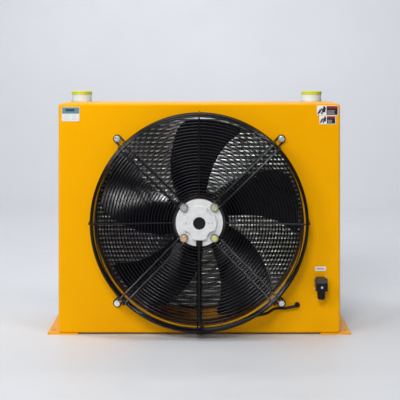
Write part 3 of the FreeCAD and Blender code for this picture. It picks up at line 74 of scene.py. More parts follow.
# ---- materials ----
class Finish:
    """One node material that ends in a Principled shader."""

    def __init__(self, name):
        self.material = bpy.data.materials.new(name)
        self.material.use_nodes = True
        self.tree = self.material.node_tree
        self.surface = self.tree.nodes["Principled BSDF"]
        self.place = self.add("ShaderNodeTexCoord").outputs["Object"]
        self.normal = None

    def add(self, kind, inputs=None, **settings):
        """New node; an input is a value or another node's output socket."""
        made = self.tree.nodes.new(kind)
        for key, value in settings.items():
            setattr(made, key, value)
        for key, value in (inputs or {}).items():
            if isinstance(value, bpy.types.NodeSocket):
                self.tree.links.new(value, made.inputs[key])
            else:
                made.inputs[key].default_value = value
        return made

    def shade(self, **inputs):
        """Sets inputs of the Principled shader; underscores in a name stand for spaces."""
        for key, value in inputs.items():
            socket = self.surface.inputs[key.replace("_", " ")]
            if isinstance(value, bpy.types.NodeSocket):
                self.tree.links.new(value, socket)
            else:
                socket.default_value = value

    def noise(self, wavelength_mm, detail=2.0, stretch=(1.0, 1.0, 1.0)):
        """Noise from 0 to 1 whose features are about this long."""
        spot = self.add("ShaderNodeMapping", {"Vector": self.place, "Scale": stretch}).outputs[0]
        scale = 1.0 / (wavelength_mm * MM)
        return self.add("ShaderNodeTexNoise", {"Vector": spot, "Scale": scale, "Detail": detail}).outputs[0]

    def cells(self, size_mm):
        """Voronoi cells, each with its own grey value."""
        scale = 1.0 / (size_mm * MM)
        colour = self.add("ShaderNodeTexVoronoi", {"Vector": self.place, "Scale": scale}).outputs["Color"]
        return self.add("ShaderNodeSeparateColor", {"Color": colour}).outputs[0]

    def span(self, value, low, high, to_low=0.0, to_high=1.0):
        """Stretches low..high of a value to another range, clamped."""
        ends = {"Value": value, "From Min": low, "From Max": high, "To Min": to_low, "To Max": to_high}
        return self.add("ShaderNodeMapRange", ends).outputs[0]

    def maths(self, operation, a, b=0.0):
        return self.add("ShaderNodeMath", {0: a, 1: b}, operation=operation).outputs[0]

    def mix(self, share, a, b):
        """Colour between a and b."""
        rgba = [c if isinstance(c, bpy.types.NodeSocket) else (*c, 1.0) for c in (a, b)]
        return self.add("ShaderNodeMix", {0: share, 6: rgba[0], 7: rgba[1]}, data_type="RGBA").outputs[2]

    def axis(self, letter):
        """One coordinate of the point, in metres."""
        return self.add("ShaderNodeSeparateXYZ", {0: self.place}).outputs[letter]

    def bump(self, height, depth_mm):
        """Adds a relief of this depth over what is there already."""
        inputs = {"Height": height, "Distance": depth_mm * MM, "Strength": 1.0}
        if self.normal:
            inputs["Normal"] = self.normal
        self.normal = self.add("ShaderNodeBump", inputs).outputs[0]
        self.shade(Normal=self.normal)

    def soft_edges(self, radius_mm):
        """Rounds sharp edges in the shading, and returns how near an edge the point is, from 0 to 1."""
        rounded = self.add("ShaderNodeBevel", {"Radius": radius_mm * MM}, samples=4).outputs[0]
        true = self.add("ShaderNodeNewGeometry").outputs["Normal"]
        both = {0: rounded, 1: true}
        alike = self.add("ShaderNodeVectorMath", both, operation="DOT_PRODUCT").outputs["Value"]
        self.normal = rounded
        self.shade(Normal=rounded)
        return self.span(alike, 0.98, 0.80)


def coat_of_paint(name, colour, deep, roughness, peel_mm, peel_depth, edge_mm, specular=0.5, tint=(1, 1, 1)):
    """Powder coat: two close tones, orange peel, and thinner paint on the edges."""
    f = Finish(name)
    edge = f.soft_edges(edge_mm)
    tone = f.mix(f.span(f.noise(170.0, 3.0), 0.35, 0.65), deep, colour)
    speck = f.span(f.noise(1.1, 1.0), 0.60, 0.75, 0.0, 0.25)
    tone = f.mix(speck, tone, deep)
    thin = tuple(min(1.0, c * 1.12 + 0.004) for c in colour)
    f.shade(Base_Color=f.mix(edge, tone, thin))
    f.shade(Roughness=f.span(f.noise(24.0, 3.0), 0.3, 0.7, roughness * 0.88, roughness * 1.15))
    f.shade(Specular_IOR_Level=specular, Specular_Tint=(*tint, 1.0))
    f.bump(f.noise(peel_mm, 2.0), peel_depth)
    return f


# painted shade: the yellow paint turns brown-black deep in the fan opening, standing in for the shade there
THROAT_PAINTED_SHADE = (0.10, 0.036, 0.004)    # the paint deep in the fan opening, darkened by position
THROAT_Y = (-0.091, -0.086)            # where the darkening begins and is complete, behind the panel
THROAT_RADIUS = (0.262, 0.259)         # and the same towards the fan axis


def case_paint():
    """Yellow powder coat, with painted shade inside the fan opening."""
    colour, deep, tint = (0.90, 0.405, 0.0), (0.87, 0.383, 0.0), (1.0, 0.7, 0.2)
    f = coat_of_paint("case_paint", colour, deep, 0.36, 2.6, 0.035, 1.2, 0.22, tint)
    paint = f.surface.inputs["Base Color"].links[0].from_socket
    across, up = f.axis("X"), f.maths("SUBTRACT", f.axis("Z"), FAN.z)
    squares = f.maths("ADD", f.maths("MULTIPLY", across, across), f.maths("MULTIPLY", up, up))
    radius = f.maths("SQRT", squares)
    # painted shade mask: grows with depth behind the panel and towards the opening's radius
    depth = f.span(f.axis("Y"), *THROAT_Y)
    painted_shade = f.maths("MULTIPLY", depth, f.span(radius, *THROAT_RADIUS))
    f.shade(Base_Color=f.mix(painted_shade, paint, THROAT_PAINTED_SHADE))
    return f.material


def guard_black():
    colour, deep = (0.0014, 0.0013, 0.0020), (0.0010, 0.0010, 0.0014)
    return coat_of_paint("guard_black", colour, deep, 0.17, 1.8, 0.02, 0.5, 0.20).material


def blade_black():
    """Black stove enamel with faint streaks along the rolling direction."""
    colour, deep = (0.0010, 0.0010, 0.0030), (0.0008, 0.0008, 0.0022)
    f = coat_of_paint("blade_black", colour, deep, 0.12, 3.4, 0.02, 0.8, 0.12)
    f.bump(f.noise(16.0, 2.0, (1.0, 1.0, 0.25)), 0.05)
    return f.material


def cast_metal(name, colour, dark, roughness, metallic, grain_mm, grain_depth):
    """Blasted or as-cast metal: fine pits, blotches and brighter edges."""
    f = Finish(name)
    edge = f.soft_edges(0.8)
    blotch = f.span(f.noise(9.0, 4.0), 0.40, 0.75)
    tone = f.mix(blotch, colour, dark)
    bright = tuple(min(1.0, c * 1.15) for c in colour)
    f.shade(Base_Color=f.mix(edge, tone, bright), Metallic=metallic)
    f.shade(Roughness=f.span(f.noise(5.0, 3.0), 0.3, 0.7, roughness * 0.8, roughness * 1.2))
    f.bump(f.noise(grain_mm, 3.0), grain_depth)
    f.bump(f.noise(grain_mm * 0.35, 1.0), grain_depth * 0.3)
    return f


def cast_alloy():
    return cast_metal("cast_alloy", (0.76, 0.765, 0.76), (0.66, 0.665, 0.66), 0.48, 0.25, 1.6, 0.05).material


def plug_grey():
    """Dark pressed plug in the middle of the hub."""
    f = cast_metal("plug_grey", (0.005, 0.0045, 0.004), (0.003, 0.003, 0.003), 0.28, 0.0, 2.2, 0.03)
    f.shade(Specular_IOR_Level=0.3)
    return f.material


def zinc(name, colour, flash, roughness):
    """Zinc plating: spangle cells, a slight colour flash and rubbed edges."""
    f = Finish(name)
    edge = f.soft_edges(0.5)
    tone = f.mix(f.span(f.noise(4.0, 2.0), 0.4, 0.7), colour, flash)
    f.shade(Base_Color=f.mix(edge, tone, tuple(min(1.0, c * 1.2) for c in colour)), Metallic=0.7)
    f.shade(Roughness=f.span(f.cells(1.4), 0.0, 1.0, roughness * 0.8, roughness * 1.25))
    f.bump(f.noise(0.7, 2.0), 0.02)
    return f.material


def zinc_steel():
    return zinc("zinc_steel", (0.84, 0.87, 0.92), (0.70, 0.76, 0.88), 0.26)


def dull_zinc():
    return zinc("dull_zinc", (0.44, 0.45, 0.46), (0.34, 0.35, 0.37), 0.36)


def yellow_zinc_steel():
    """Chromate whose colour differs from bolt to bolt: grey, olive, copper and lime."""
    f = Finish("yellow_zinc_steel")
    f.soft_edges(0.5)
    right = f.span(f.axis("X"), -1.0 * MM, 1.0 * MM)
    upper = f.mix(right, (0.46, 0.47, 0.40), (0.56, 0.58, 0.24))
    lower = f.mix(right, (0.86, 0.36, 0.12), (0.72, 0.68, 0.08))
    tone = f.mix(f.span(f.axis("Z"), FAN.z - 1.0 * MM, FAN.z + 1.0 * MM), lower, upper)
    tone = f.mix(f.span(f.noise(3.0, 2.0), 0.42, 0.66, 0.0, 0.55), tone, (0.90, 0.88, 0.74))
    tone = f.mix(f.span(f.noise(2.2, 2.0), 0.55, 0.70, 0.0, 0.6), tone, (0.10, 0.09, 0.06))
    f.shade(Base_Color=tone, Metallic=0.6)
    f.shade(Roughness=f.span(f.cells(1.4), 0.0, 1.0, 0.26, 0.40))
    f.bump(f.noise(0.7, 2.0), 0.02)
    return f.material


def bearing_steel():
    return zinc("bearing_steel", (0.62, 0.62, 0.63), (0.56, 0.56, 0.58), 0.16)


def tube_alloy():
    """Fronts of the flat tubes: pale, matt aluminium with flux haze."""
    f = cast_metal("tube_alloy", (0.90, 0.90, 0.88), (0.78, 0.78, 0.77), 0.45, 0.15, 2.0, 0.02)
    return f.material


def core_alloy():
    """Brazed aluminium: rolling lines along X and cloudy flux residue."""
    f = Finish("core_alloy")
    edge = f.soft_edges(0.5)
    cloud = f.span(f.noise(18.0, 5.0), 0.42, 0.70)
    tone = f.mix(cloud, (0.80, 0.81, 0.82), (0.58, 0.59, 0.60))
    f.shade(Base_Color=f.mix(edge, tone, (0.9, 0.9, 0.9)), Metallic=0.85)
    f.shade(Roughness=f.span(cloud, 0.0, 1.0, 0.30, 0.52))
    f.bump(f.noise(0.9, 2.0, (0.04, 1.0, 1.0)), 0.02)
    f.bump(f.noise(6.0, 3.0), 0.05)
    return f.material


def fin_alloy():
    """Thin fin stock, near black, with faint blotches."""
    f = Finish("fin_alloy")
    tone = f.mix(f.span(f.noise(7.0, 4.0), 0.4, 0.7), (0.030, 0.031, 0.034), (0.014, 0.014, 0.016))
    f.shade(Base_Color=tone, Metallic=0.4)
    f.shade(Roughness=f.span(f.noise(2.0, 2.0), 0.3, 0.7, 0.42, 0.60))
    f.bump(f.noise(1.5, 2.0), 0.03)
    return f.material


def port_paint():
    """Cream primer left bare round the oil ports."""
    f = coat_of_paint("port_paint", (0.78, 0.83, 0.80), (0.70, 0.75, 0.72), 0.42, 2.0, 0.03, 0.8)
    return f.material


def cap_plastic():
    """Translucent lime polyethylene with a faint moulded haze."""
    f = Finish("cap_plastic")
    f.soft_edges(0.6)
    tone = f.mix(f.span(f.noise(12.0, 3.0), 0.35, 0.7), (0.62, 0.66, 0.03), (0.52, 0.57, 0.02))
    f.shade(Base_Color=tone, Subsurface_Weight=0.25)
    f.shade(Subsurface_Radius=(0.6, 0.7, 0.1), Subsurface_Scale=0.002)
    f.shade(Roughness=f.span(f.noise(3.0, 2.0), 0.3, 0.7, 0.34, 0.46))
    f.bump(f.noise(1.2, 2.0), 0.02)
    return f.material


def rubber(name, colour, roughness):
    f = Finish(name)
    f.soft_edges(0.4)
    dusty = tuple(c * 1.8 + 0.001 for c in colour)
    f.shade(Base_Color=f.mix(f.span(f.noise(14.0, 4.0), 0.45, 0.8, 0.0, 0.5), colour, dusty))
    f.shade(Roughness=f.span(f.noise(3.0, 3.0), 0.3, 0.7, roughness * 0.85, roughness * 1.15))
    f.shade(Specular_IOR_Level=0.25)
    f.bump(f.noise(0.8, 2.0), 0.03)
    return f.material


def cable_rubber():
    return rubber("cable_rubber", (0.004, 0.004, 0.0045), 0.40)


def black_plastic():
    return rubber("black_plastic", (0.004, 0.004, 0.004), 0.34)


def copper():
    """Lacquered winding wire."""
    f = Finish("copper")
    strands = f.noise(1.1, 1.0, (0.15, 1.0, 1.0))
    f.shade(Base_Color=f.mix(strands, (0.60, 0.22, 0.09), (0.35, 0.10, 0.04)), Metallic=0.9)
    f.shade(Roughness=f.span(f.noise(4.0, 2.0), 0.3, 0.7, 0.28, 0.42))
    f.bump(strands, 0.15)
    return f.material


def lamination():
    """Stack of thin steel sheets, seen on edge as fine lines."""
    f = Finish("lamination")
    sheets = f.maths("SINE", f.maths("MULTIPLY", f.axis("Y"), 2 * math.pi / (0.65 * MM)))
    f.shade(Base_Color=f.mix(f.span(sheets, -1.0, 1.0), (0.18, 0.18, 0.19), (0.34, 0.34, 0.35)), Metallic=0.8)
    f.shade(Roughness=f.span(f.noise(5.0, 3.0), 0.3, 0.7, 0.36, 0.5))
    f.bump(sheets, 0.05)
    return f.material


def inside(f, letter, low, high, soft=0.1):
    """1 where a coordinate lies between two values in millimetres, else 0."""
    where = f.axis(letter)
    up = f.span(where, (low - soft) * MM, (low + soft) * MM)
    down = f.span(where, (high + soft) * MM, (high - soft) * MM)
    return f.maths("MULTIPLY", up, down)


def patch(f, base, colour, x0, x1, z0, z1):
    """Lays a printed rectangle over a base colour."""
    here = f.maths("MULTIPLY", inside(f, "X", x0, x1), inside(f, "Z", z0, z1))
    return f.mix(here, base, colour)


def printed(name, base, patches, roughness, metallic):
    """Label stock with plain printed rectangles; no lettering."""
    f = Finish(name)
    f.soft_edges(0.3)
    tone = f.mix(f.span(f.noise(6.0, 3.0), 0.4, 0.8, 0.0, 0.3), base, tuple(c * 0.86 for c in base))
    for colour, x0, x1, z0, z1 in patches:
        tone = patch(f, tone, colour, x0, x1, z0, z1)
    f.shade(Base_Color=tone, Metallic=metallic)
    f.shade(Roughness=f.span(f.noise(2.5, 2.0), 0.3, 0.7, roughness * 0.85, roughness * 1.15))
    f.bump(f.noise(1.5, 2.0), 0.01)
    return f.material


def label_metal():
    low, high = (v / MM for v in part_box("nameplate"))
    x0, x1, z0, z1 = low.x, high.x, low.z, high.z
    middle = z0 + (z1 - z0) * 0.53
    grey = (0.52, 0.55, 0.55)
    patches = [((0.14, 0.26, 0.31), x0 + 0.8, x1 - 0.8, middle, z1 - 0.8)]
    patches.append(((0.035, 0.06, 0.08), x0 + 9.0, x1 - 12.0, middle + 6.0, z1 - 5.0))
    for row in range(4):
        z = z0 + 3.0 + 3.9 * row
        patches.append((grey, x0 + 3.5, x0 + 17.0 + 3.0 * (row % 2), z, z + 0.8))
        patches.append((grey, x0 + 24.0, x1 - 5.0 - 2.0 * (row % 3), z, z + 0.8))
    return printed("label_metal", (0.80, 0.83, 0.81), patches, 0.34, 0.15)


PICTOGRAM = (
    (0.06, 0.18, 0.08, 0.30),
    (0.12, 0.36, 0.22, 0.40),
    (0.22, 0.46, 0.38, 0.58),
    (0.38, 0.56, 0.54, 0.70),
    (0.52, 0.88, 0.30, 0.62),
    (0.60, 0.94, 0.58, 0.78),
    (0.66, 0.86, 0.76, 0.92),
    (0.44, 0.60, 0.10, 0.34),
)


def label_film():
    """Generic labels: white field with a dark shape, red bar over a black field."""
    low, high = (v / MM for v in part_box("stickers"))
    black = (0.012, 0.012, 0.014)
    red = (0.30, 0.008, 0.014)
    patches = []
    tops = ((288.0, 340.0, 537.0, 561.0), (294.0, 334.0, 515.5, 536.0))
    for x0, x1, z0, z1 in tops:
        middle = x0 + (x1 - x0) * 0.45
        height = z1 - z0
        patches.append((black, middle, x1 - 1.2, z0 + 1.2, z1 - 1.2))
        patches.append((red, middle, x1 - 1.2, z1 - height * 0.30, z1 - 1.2))
        for row in range(3):
            z = z0 + height * (0.18 + 0.13 * row)
            patches.append(((0.45, 0.45, 0.46), middle + 2.0, x1 - 9.0, z, z + height * 0.05))
        wide = middle - x0
        for left, right, under, over in PICTOGRAM:
            across = (x0 + wide * left, x0 + wide * right)
            patches.append((black, *across, z0 + height * under, z0 + height * over))
    patches.append(((0.30, 0.30, 0.31), 287.5, 305.5, 160.2, 162.8))
    return printed("label_film", (0.80, 0.80, 0.79), patches, 0.38, 0.0)


def weld_metal():
    f = cast_metal("weld_metal", (0.62, 0.62, 0.62), (0.34, 0.31, 0.28), 0.34, 0.9, 1.2, 0.03)
    return f.material


MAKERS = {
    "case_paint": case_paint,
    "guard_black": guard_black,
    "blade_black": blade_black,
    "cast_alloy": cast_alloy,
    "plug_grey": plug_grey,
    "zinc_steel": zinc_steel,
    "dull_zinc": dull_zinc,
    "yellow_zinc_steel": yellow_zinc_steel,
    "core_alloy": core_alloy,
    "tube_alloy": tube_alloy,
    "fin_alloy": fin_alloy,
    "port_paint": port_paint,
    "cap_plastic": cap_plastic,
    "cable_rubber": cable_rubber,
    "black_plastic": black_plastic,
    "copper": copper,
    "lamination": lamination,
    "bearing_steel": bearing_steel,
    "label_film": label_film,
    "label_metal": label_metal,
    "weld_metal": weld_metal,
}
MATERIALS = {name: make() for name, make in MAKERS.items()}


def dress(obj, finish):
    """Gives an object one finish."""
    obj.data.materials.clear()
    obj.data.materials.append(MATERIALS[finish])


def dress_cad_nodes():
    """Every CAD node takes the finish of its record slot, apart from these."""
    finishes = {part["node"]: part["material_slot"] for part in frame["record"]["subparts"]}
    finishes.update({"port_boss_left": "port_paint", "port_boss_right": "port_paint"})
    finishes.update({"core_tubes": "tube_alloy"})
    finishes.update({"motor_flat_washers": "dull_zinc", "motor_spring_washers": "dull_zinc"})
    for name, obj in frame["nodes"].items():
        dress(obj, finishes[name])


# ---- mesh pieces ----
def piece(name, verts, faces, finish, body, slot, smooth=True):
    """Mesh object that rides on a body."""
    mesh = bpy.data.meshes.new(name)
    mesh.from_pydata(verts, [], faces)
    mesh.validate()
    mesh.update()
    mesh.shade_smooth() if smooth else mesh.shade_flat()
    obj = bpy.data.objects.new(name, mesh)
    bpy.context.scene.collection.objects.link(obj)
    dress(obj, finish)
    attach(obj, body)
    return obj


FIN_PITCH = 3.9 * MM
FIN_SHEET = 0.16 * MM
FIN_PIECES = 8
FIN_LAYERS = 48
TUBE_THICK = 2.4 * MM
FIN_WAVE = ((0.0, -1.0), (0.17, -0.88), (0.33, 0.88), (0.5, 1.0), (0.67, 0.88), (0.83, -0.88))


def fin_layer(verts, faces, x0, x1, y0, y1, low, high):
    """One corrugated strip between two tubes, a closed ribbon with slightly uneven folds."""
    folds = round((x1 - x0) / FIN_PITCH)
    pitch = (x1 - x0) / folds
    half = (high - low) / 2 - FIN_SHEET
    middle = (low + high) / 2
    base = len(verts)
    count = 0
    for fold in range(folds):
        lean = random.uniform(-0.06, 0.06) * pitch
        for share, height in FIN_WAVE:
            x = x0 + (fold + share) * pitch
            z = middle + half * height
            for y in (y0, y1):
                push = lean if y == y0 else -lean
                verts.append((x + push, y, z - FIN_SHEET / 2))
                verts.append((x + push, y, z + FIN_SHEET / 2))
            count += 1
    for i in range(count - 1):
        a = base + 4 * i
        b = a + 4
        faces.append((a, b, b + 2, a + 2))
        faces.append((a + 1, a + 3, b + 3, b + 1))
        faces.append((a, a + 1, b + 1, b))
        faces.append((a + 2, b + 2, b + 3, a + 3))
    last = base + 4 * (count - 1)
    faces.append((base, base + 2, base + 3, base + 1))
    faces.append((last, last + 1, last + 3, last + 2))


def tube_spans():
    """(low, high) Z of every gap between tubes, from the box of the fins and the tubes' thickness."""
    low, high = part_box("air_fins")
    height = (high.z - low.z - (FIN_LAYERS - 1) * TUBE_THICK) / FIN_LAYERS
    starts = [low.z + i * (height + TUBE_THICK) for i in range(FIN_LAYERS)]
    return [(start, start + height) for start in starts]


def air_fins():
    low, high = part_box("air_fins")
    spans = tube_spans()
    per = len(spans) // FIN_PIECES
    for group in range(FIN_PIECES):
        verts, faces = [], []
        for z0, z1 in spans[group * per:(group + 1) * per]:
            fin_layer(verts, faces, low.x, high.x, low.y, high.y, z0, z1)
        obj = piece(f"air_fins_row_{group + 1}", verts, faces, "fin_alloy", "housing", "core_alloy", False)
        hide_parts("air_fins")


# ---- welds ----
FACE_RINGS = 26
FACE_HUB = (64.0, 34.5)       # radius and distance in front of the panel of the first thin ring
FACE_RIM = (250.0, 58.0)
THIN_WIRE_R = 1.5
HEAVY_WIRE_R = 2.25
WALL_RINGS = ((263.5, 2.3), (262.7, 17.5), (262.0, 32.8), (261.2, 48.0), (257.4, 55.8))
HAIRPIN_HALF = 8.0
RIB_PAIR_HALF = 3.9


def nugget(verts, faces, centre, axes, sizes):
    """Squashed spot weld, a little uneven, with its three axes and half-sizes in millimetres."""
    rows, turns = (45.0, 90.0, 135.0), 8
    base = len(verts)
    swell = random.uniform(0.88, 1.12)
    half = [axis * size * swell * MM for axis, size in zip(axes, sizes)]
    verts.append(centre + half[2])
    for tilt in rows:
        for turn in range(turns):
            a, b = math.radians(tilt), 2 * math.pi * turn / turns
            lump = random.uniform(0.92, 1.08)
            flat = half[0] * math.sin(a) * math.cos(b) + half[1] * math.sin(a) * math.sin(b)
            verts.append(centre + (flat + half[2] * math.cos(a)) * lump)
    verts.append(centre - half[2])
    last = len(verts) - 1
    for turn in range(turns):
        after = (turn + 1) % turns
        faces.append((base, base + 1 + turn, base + 1 + after))
        for row in range(len(rows) - 1):
            a = base + 1 + row * turns
            b = a + turns
            faces.append((a + turn, b + turn, b + after, a + after))
        final = base + 1 + (len(rows) - 1) * turns
        faces.append((last, final + after, final + turn))


def guard_bars():
    """(angle, sideways offset, first ring) of every leg and rib of the guard."""
    bars = [(angle, side * HAIRPIN_HALF, 1) for angle in (45.0, 135.0, 225.0, 315.0) for side in (-1, 1)]
    bars += [(angle, 0.0, 0) for angle in (0.0, 90.0, 180.0)]
    bars += [(270.0, side * RIB_PAIR_HALF, 2) for side in (-1, 1)]
    return bars


def guard_welds():
    """Spot welds where bars cross rings, in the angle between the two wires."""
    face, wall = ([], []), ([], [])
    slope = (FACE_RIM[1] - FACE_HUB[1]) / (FACE_RIM[0] - FACE_HUB[0])
    forward = Vector((0.0, -1.0, 0.0))
    for angle, offset, first in guard_bars():
        for ring in range(first, FACE_RINGS):
            radius = FACE_HUB[0] + (FACE_RIM[0] - FACE_HUB[0]) * ring / (FACE_RINGS - 1)
            turn = angle + math.degrees(math.asin(offset / radius))
            out = (polar(1.0, angle, 0.0) - polar(0.0, angle, 0.0)).normalized()
            along = out.cross(forward)
            centre = polar(radius, turn, FACE_HUB[1] + slope * (radius - FACE_HUB[0]) + THIN_WIRE_R - 0.2)
            nugget(*face, centre, (out, along, forward), (2.3, 3.2, 1.3))
        for radius, distance in WALL_RINGS:
            turn = angle + math.degrees(math.asin(offset / radius))
            out = (polar(1.0, turn, 0.0) - polar(0.0, turn, 0.0)).normalized()
            along = out.cross(forward)
            centre = polar(radius + HEAVY_WIRE_R - 0.2, turn, distance)
            nugget(*wall, centre, (along, forward, out), (3.9, 3.0, 1.4))
    piece("guard_face_welds", *face, "guard_black", "housing", "guard_black")
    piece("guard_wall_welds", *wall, "guard_black", "housing", "guard_black")


def bead(verts, faces, path, radius_mm, closed):
    """Rippled weld bead along a fine path."""
    ring = 8
    base = len(verts)
    count = len(path)
    for i, point in enumerate(path):
        before = path[i - 1] if closed or i else point
        after = path[(i + 1) % count] if closed or i < count - 1 else point
        way = (after - before).normalized()
        aside = Vector((0.0, 0.0, 1.0)) if abs(way.z) < 0.9 else Vector((0.0, 1.0, 0.0))
        side = way.cross(aside).normalized()
        up = side.cross(way)
        ripple = radius_mm * (0.90 + 0.16 * ((i % 4) / 3.0)) * random.uniform(0.96, 1.04) * MM
        if not closed and i in (0, count - 1):
            ripple *= 0.45
        for k in range(ring):
            b = 2 * math.pi * k / ring
            verts.append(point + (side * math.cos(b) + up * math.sin(b)) * ripple)
    for i in range(count if closed else count - 1):
        a = base + i * ring
        b = base + ((i + 1) % count) * ring
        for k in range(ring):
            after = (k + 1) % ring
            faces.append((a + k, a + after, b + after, b + k))
    if not closed:
        faces.append(tuple(base + k for k in reversed(range(ring))))
        faces.append(tuple(base + (count - 1) * ring + k for k in range(ring)))


def tank_welds():
    """Beads round the port bosses and down the rear joints between the header tanks and the core."""
    for side in ("left", "right"):
        low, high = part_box(f"port_boss_{side}")
        middle = (low + high) / 2
        reach = (high.x - low.x) / 2 + 0.6 * MM
        round_boss = []
        for i in range(144):
            turn = 2 * math.pi * i / 144
            x, y = middle.x + reach * math.cos(turn), middle.y + reach * math.sin(turn)
            round_boss.append(Vector((x, y, low.z + 0.5 * MM)))
        tank_low, tank_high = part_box(f"header_tank_{side}")
        inner = tank_high.x if side == "left" else tank_low.x
        length = tank_high.z - tank_low.z - 16.0 * MM
        y, foot = tank_high.y - 0.6 * MM, tank_low.z + 8.0 * MM
        seam = [Vector((inner, y, foot + length * i / 420)) for i in range(421)]
        verts, faces = [], []
        bead(verts, faces, round_boss, 2.3, True)
        bead(verts, faces, seam, 2.4, False)
        piece(f"tank_welds_{side}", verts, faces, "weld_metal", "housing", "core_alloy")


def blade_welds():
    """A bead along the root of each blade, where it stands on the hub ring."""
    for number in range(1, 6):
        mesh = frame["nodes"][f"fan_blade_{number}"].data
        roots = []
        for vertex in mesh.vertices:
            radius = math.hypot(vertex.co.x - FAN.x, vertex.co.z - FAN.z)
            if radius < 72.2 * MM:
                roots.append(vertex.co.copy())
        start = min(p.y for p in roots)
        length = max(p.y for p in roots) - start
        path = []
        for step in range(60):
            y = start + length * (step + 0.5) / 60
            near = sorted(roots, key=lambda p: abs(p.y - y))[:4]
            spot = sum(near, Vector()) / len(near)
            out = Vector((spot.x - FAN.x, 0.0, spot.z - FAN.z)).normalized()
            path.append(Vector((FAN.x, y, FAN.z)) + out * 72.1 * MM)
        for _ in range(6):
            path = path[:1] + [(a + b * 2 + c) / 4 for a, b, c in zip(path, path[1:], path[2:])] + path[-1:]
        verts, faces = [], []
        bead(verts, faces, path, 2.3, False)
        piece(f"blade_weld_{number}", verts, faces, "blade_black", "rotor", "blade_black")


# ---- port caps ----
def port_caps():
    """Moulded caps with a fluted grip, a stepped top and a hollow underside."""
    for side in ("left", "right"):
        low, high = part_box(f"port_cap_{side}")
        middle = (low + high) / 2
        rim = (high.x - low.x) / 2 / MM
        top = (high.z - low.z) / MM
        inner = rim - 1.05
        rings = [(inner, 0.0, 0), (rim - 0.25, 0.0, 0), (rim, 0.4, 0), (rim, 1.2, 0)]
        rings += [(rim - 0.05, 1.6, 1), (rim - 0.05, top - 2.6, 1), (rim, top - 2.1, 0)]
        rings += [(rim, top - 1.5, 0), (rim - 0.44, top - 0.44, 0)]
        rings += [(rim - 1.5, top, 0), (rim - 3.2, top, 0), (rim - 3.7, top - 0.5, 0), (9.0, top - 0.5, 0)]
        rings += [(8.5, top - 0.05, 0), (4.0, top - 0.05, 0), (3.4, top - 0.6, 0)]
        under = [(3.4, top - 3.0), (inner - 0.6, top - 3.0), (inner, top - 3.6)]
        rings += [(radius, height, 0) for radius, height in under]
        turns = 240
        verts, faces = [], []
        for radius, height, grip in rings:
            for k in range(turns):
                turn = 2 * math.pi * k / turns
                depth = 0.55 * (0.5 - 0.5 * math.cos(40 * turn)) * grip
                reach = (radius - depth) * MM
                x, y = middle.x + reach * math.cos(turn), middle.y + reach * math.sin(turn)
                verts.append((x, y, low.z + height * MM))
        for row in range(len(rings)):
            a = row * turns
            b = (row + 1) % len(rings) * turns
            if rings[row][0] == 3.4 and rings[(row + 1) % len(rings)][0] == 3.4:
                continue
            for k in range(turns):
                after = (k + 1) % turns
                faces.append((a + k, a + after, b + after, b + k))
        for row, flip in ((15, 1), (16, -1)):
            faces.append(tuple(row * turns + k for k in range(turns))[::flip])
        obj = piece(f"port_cap_{side}_moulded", verts, faces, "cap_plastic", f"cap_{side}", "cap_plastic")
        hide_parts(f"port_cap_{side}")


# ---- stage ----
def area_light(name, place, target, width, height, power):
    """White rectangular light that faces a target."""
    data = bpy.data.lights.new(name, "AREA")
    data.shape = "RECTANGLE"
    data.size = width
    data.size_y = height
    data.energy = power
    obj = bpy.data.objects.new(name, data)
    obj.location = place
    obj.rotation_euler = (Vector(target) - Vector(place)).to_track_quat("-Z", "Y").to_euler()
    bpy.context.scene.collection.objects.link(obj)
    return obj


def only(light, objects):
    """Lets a light fall on these objects alone."""
    lit = bpy.data.collections.new(light.name + "_receivers")
    for obj in objects:
        lit.objects.link(obj)
    light.light_linking.receiver_collection = lit


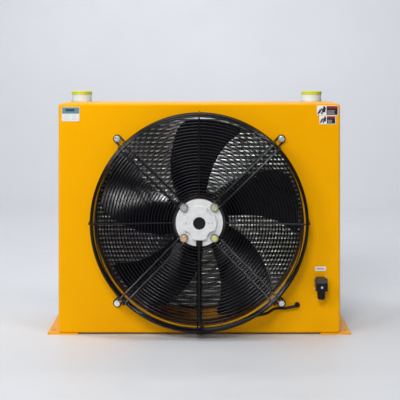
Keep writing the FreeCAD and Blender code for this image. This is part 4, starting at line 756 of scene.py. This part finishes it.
def studio():
    """Pale floor that curves up into a backdrop, with soft lights."""
    f = Finish("floor_pale")
    f.shade(Base_Color=f.mix(f.noise(400.0, 2.0), (0.70, 0.72, 0.75), (0.66, 0.68, 0.72)))
    f.shade(Roughness=f.span(f.noise(60.0, 3.0), 0.3, 0.7, 0.45, 0.60))
    MATERIALS["floor_pale"] = f.material
    reach, rear, bend, steps = 14.0, 2.2, 1.2, 16
    outline = [(-16.0, 0.0)]
    outline += [
        (rear + bend * math.sin(math.pi / 2 * i / steps), bend * (1 - math.cos(math.pi / 2 * i / steps)))
        for i in range(steps + 1)
    ]
    outline.append((rear + bend, 5.0))
    verts = [(x, y, z) for y, z in outline for x in (-reach, reach)]
    faces = [(2 * i, 2 * i + 1, 2 * i + 3, 2 * i + 2) for i in range(len(outline) - 1)]
    mesh = bpy.data.meshes.new("floor")
    mesh.from_pydata(verts, [], faces)
    mesh.shade_smooth()
    floor = bpy.data.objects.new("floor", mesh)
    bpy.context.scene.collection.objects.link(floor)
    dress(floor, "floor_pale")

    world = bpy.data.worlds.new("studio")
    world.use_nodes = True
    tree = world.node_tree
    tree.nodes["Background"].inputs[0].default_value = (0.80, 0.87, 1.0, 1.0)
    seen = tree.nodes.new("ShaderNodeMapRange")
    seen.inputs["To Min"].default_value = 0.04
    seen.inputs["To Max"].default_value = 0.55
    tree.links.new(tree.nodes.new("ShaderNodeLightPath").outputs["Is Camera Ray"], seen.inputs["Value"])
    tree.links.new(seen.outputs[0], tree.nodes["Background"].inputs[1])
    bpy.context.scene.world = world
    area_light("key", (-0.7, -4.2, 3.1), (0.0, 0.0, 0.3), 1.5, 1.5, 124.0)
    area_light("left", (-1.5, -1.8, 1.6), (-0.3, -0.1, 0.5), 0.7, 0.9, 21.0)
    area_light("top", (-0.2, -0.35, 2.3), (0.0, 0.0, 0.5), 2.4, 0.35, 26.0)
    area_light("backdrop", (0.0, 1.3, 2.9), (0.0, 3.3, 0.9), 4.0, 0.6, 62.0)
    nodes = frame["nodes"]
    guard = [nodes[name] for name in ("guard_spokes", "guard_side_rings", "guard_face_rings")]
    blades = [nodes[f"fan_blade_{number}"] for number in range(1, 6)]
    core_fill = area_light("core_fill", (0.1, -2.6, 0.6), (0.10, 0.1, 0.46), 0.4, 0.4, 2.0)
    core_fill.data.spread = math.radians(20.0)
    only(core_fill, [nodes["core_tubes"]])
    only(area_light("sheen", (1.18, -2.72, 1.5), (0.0, 0.0, 0.28), 0.16, 0.50, 62.0), guard + blades)
    only(area_light("glint", (-1.5, -2.4, 1.3), (0.0, 0.0, 0.28), 0.35, 0.5, 95.0), guard)
    bpy.context.scene.view_settings.view_transform = "Standard"


LENS_FACTOR = 2.655       # focal length over sensor width
EYE = Vector((9.0, -2695.0, 648.0)) * MM
SHIFT = (-0.0075, -0.325)
MOVED = 0.05              # the lens is straight again once the camera is this far from the eye


def camera():
    """Level camera with a dropped lens, so that uprights stay upright; other views take the shift away."""
    data = bpy.data.cameras.new("camera")
    data.sensor_width = 36.0
    data.lens = LENS_FACTOR * data.sensor_width
    data.clip_end = 50.0
    obj = bpy.data.objects.new("camera", data)
    obj.location = EYE
    obj.rotation_euler = (math.radians(90.0), 0.0, 0.0)
    mark = bpy.data.objects.new("camera_mark", None)
    mark.location = EYE
    for item in (obj, mark):
        bpy.context.scene.collection.objects.link(item)
    for channel, amount in zip(("shift_x", "shift_y"), SHIFT):
        curve = data.driver_add(channel)
        driver = curve.driver
        driver.type = "SUM"
        away = driver.variables.new()
        away.name = "away"
        away.type = "LOC_DIFF"
        away.targets[0].id = obj
        away.targets[1].id = mark
        for modifier in list(curve.modifiers):
            curve.modifiers.remove(modifier)
        for distance, shift in ((0.0, amount), (MOVED, 0.0)):
            curve.keyframe_points.insert(distance, shift).interpolation = "LINEAR"
        curve.extrapolation = "CONSTANT"
    bpy.context.scene.camera = obj


dress_cad_nodes()
air_fins()
guard_welds()
tank_welds()
blade_welds()
port_caps()
studio()
camera()
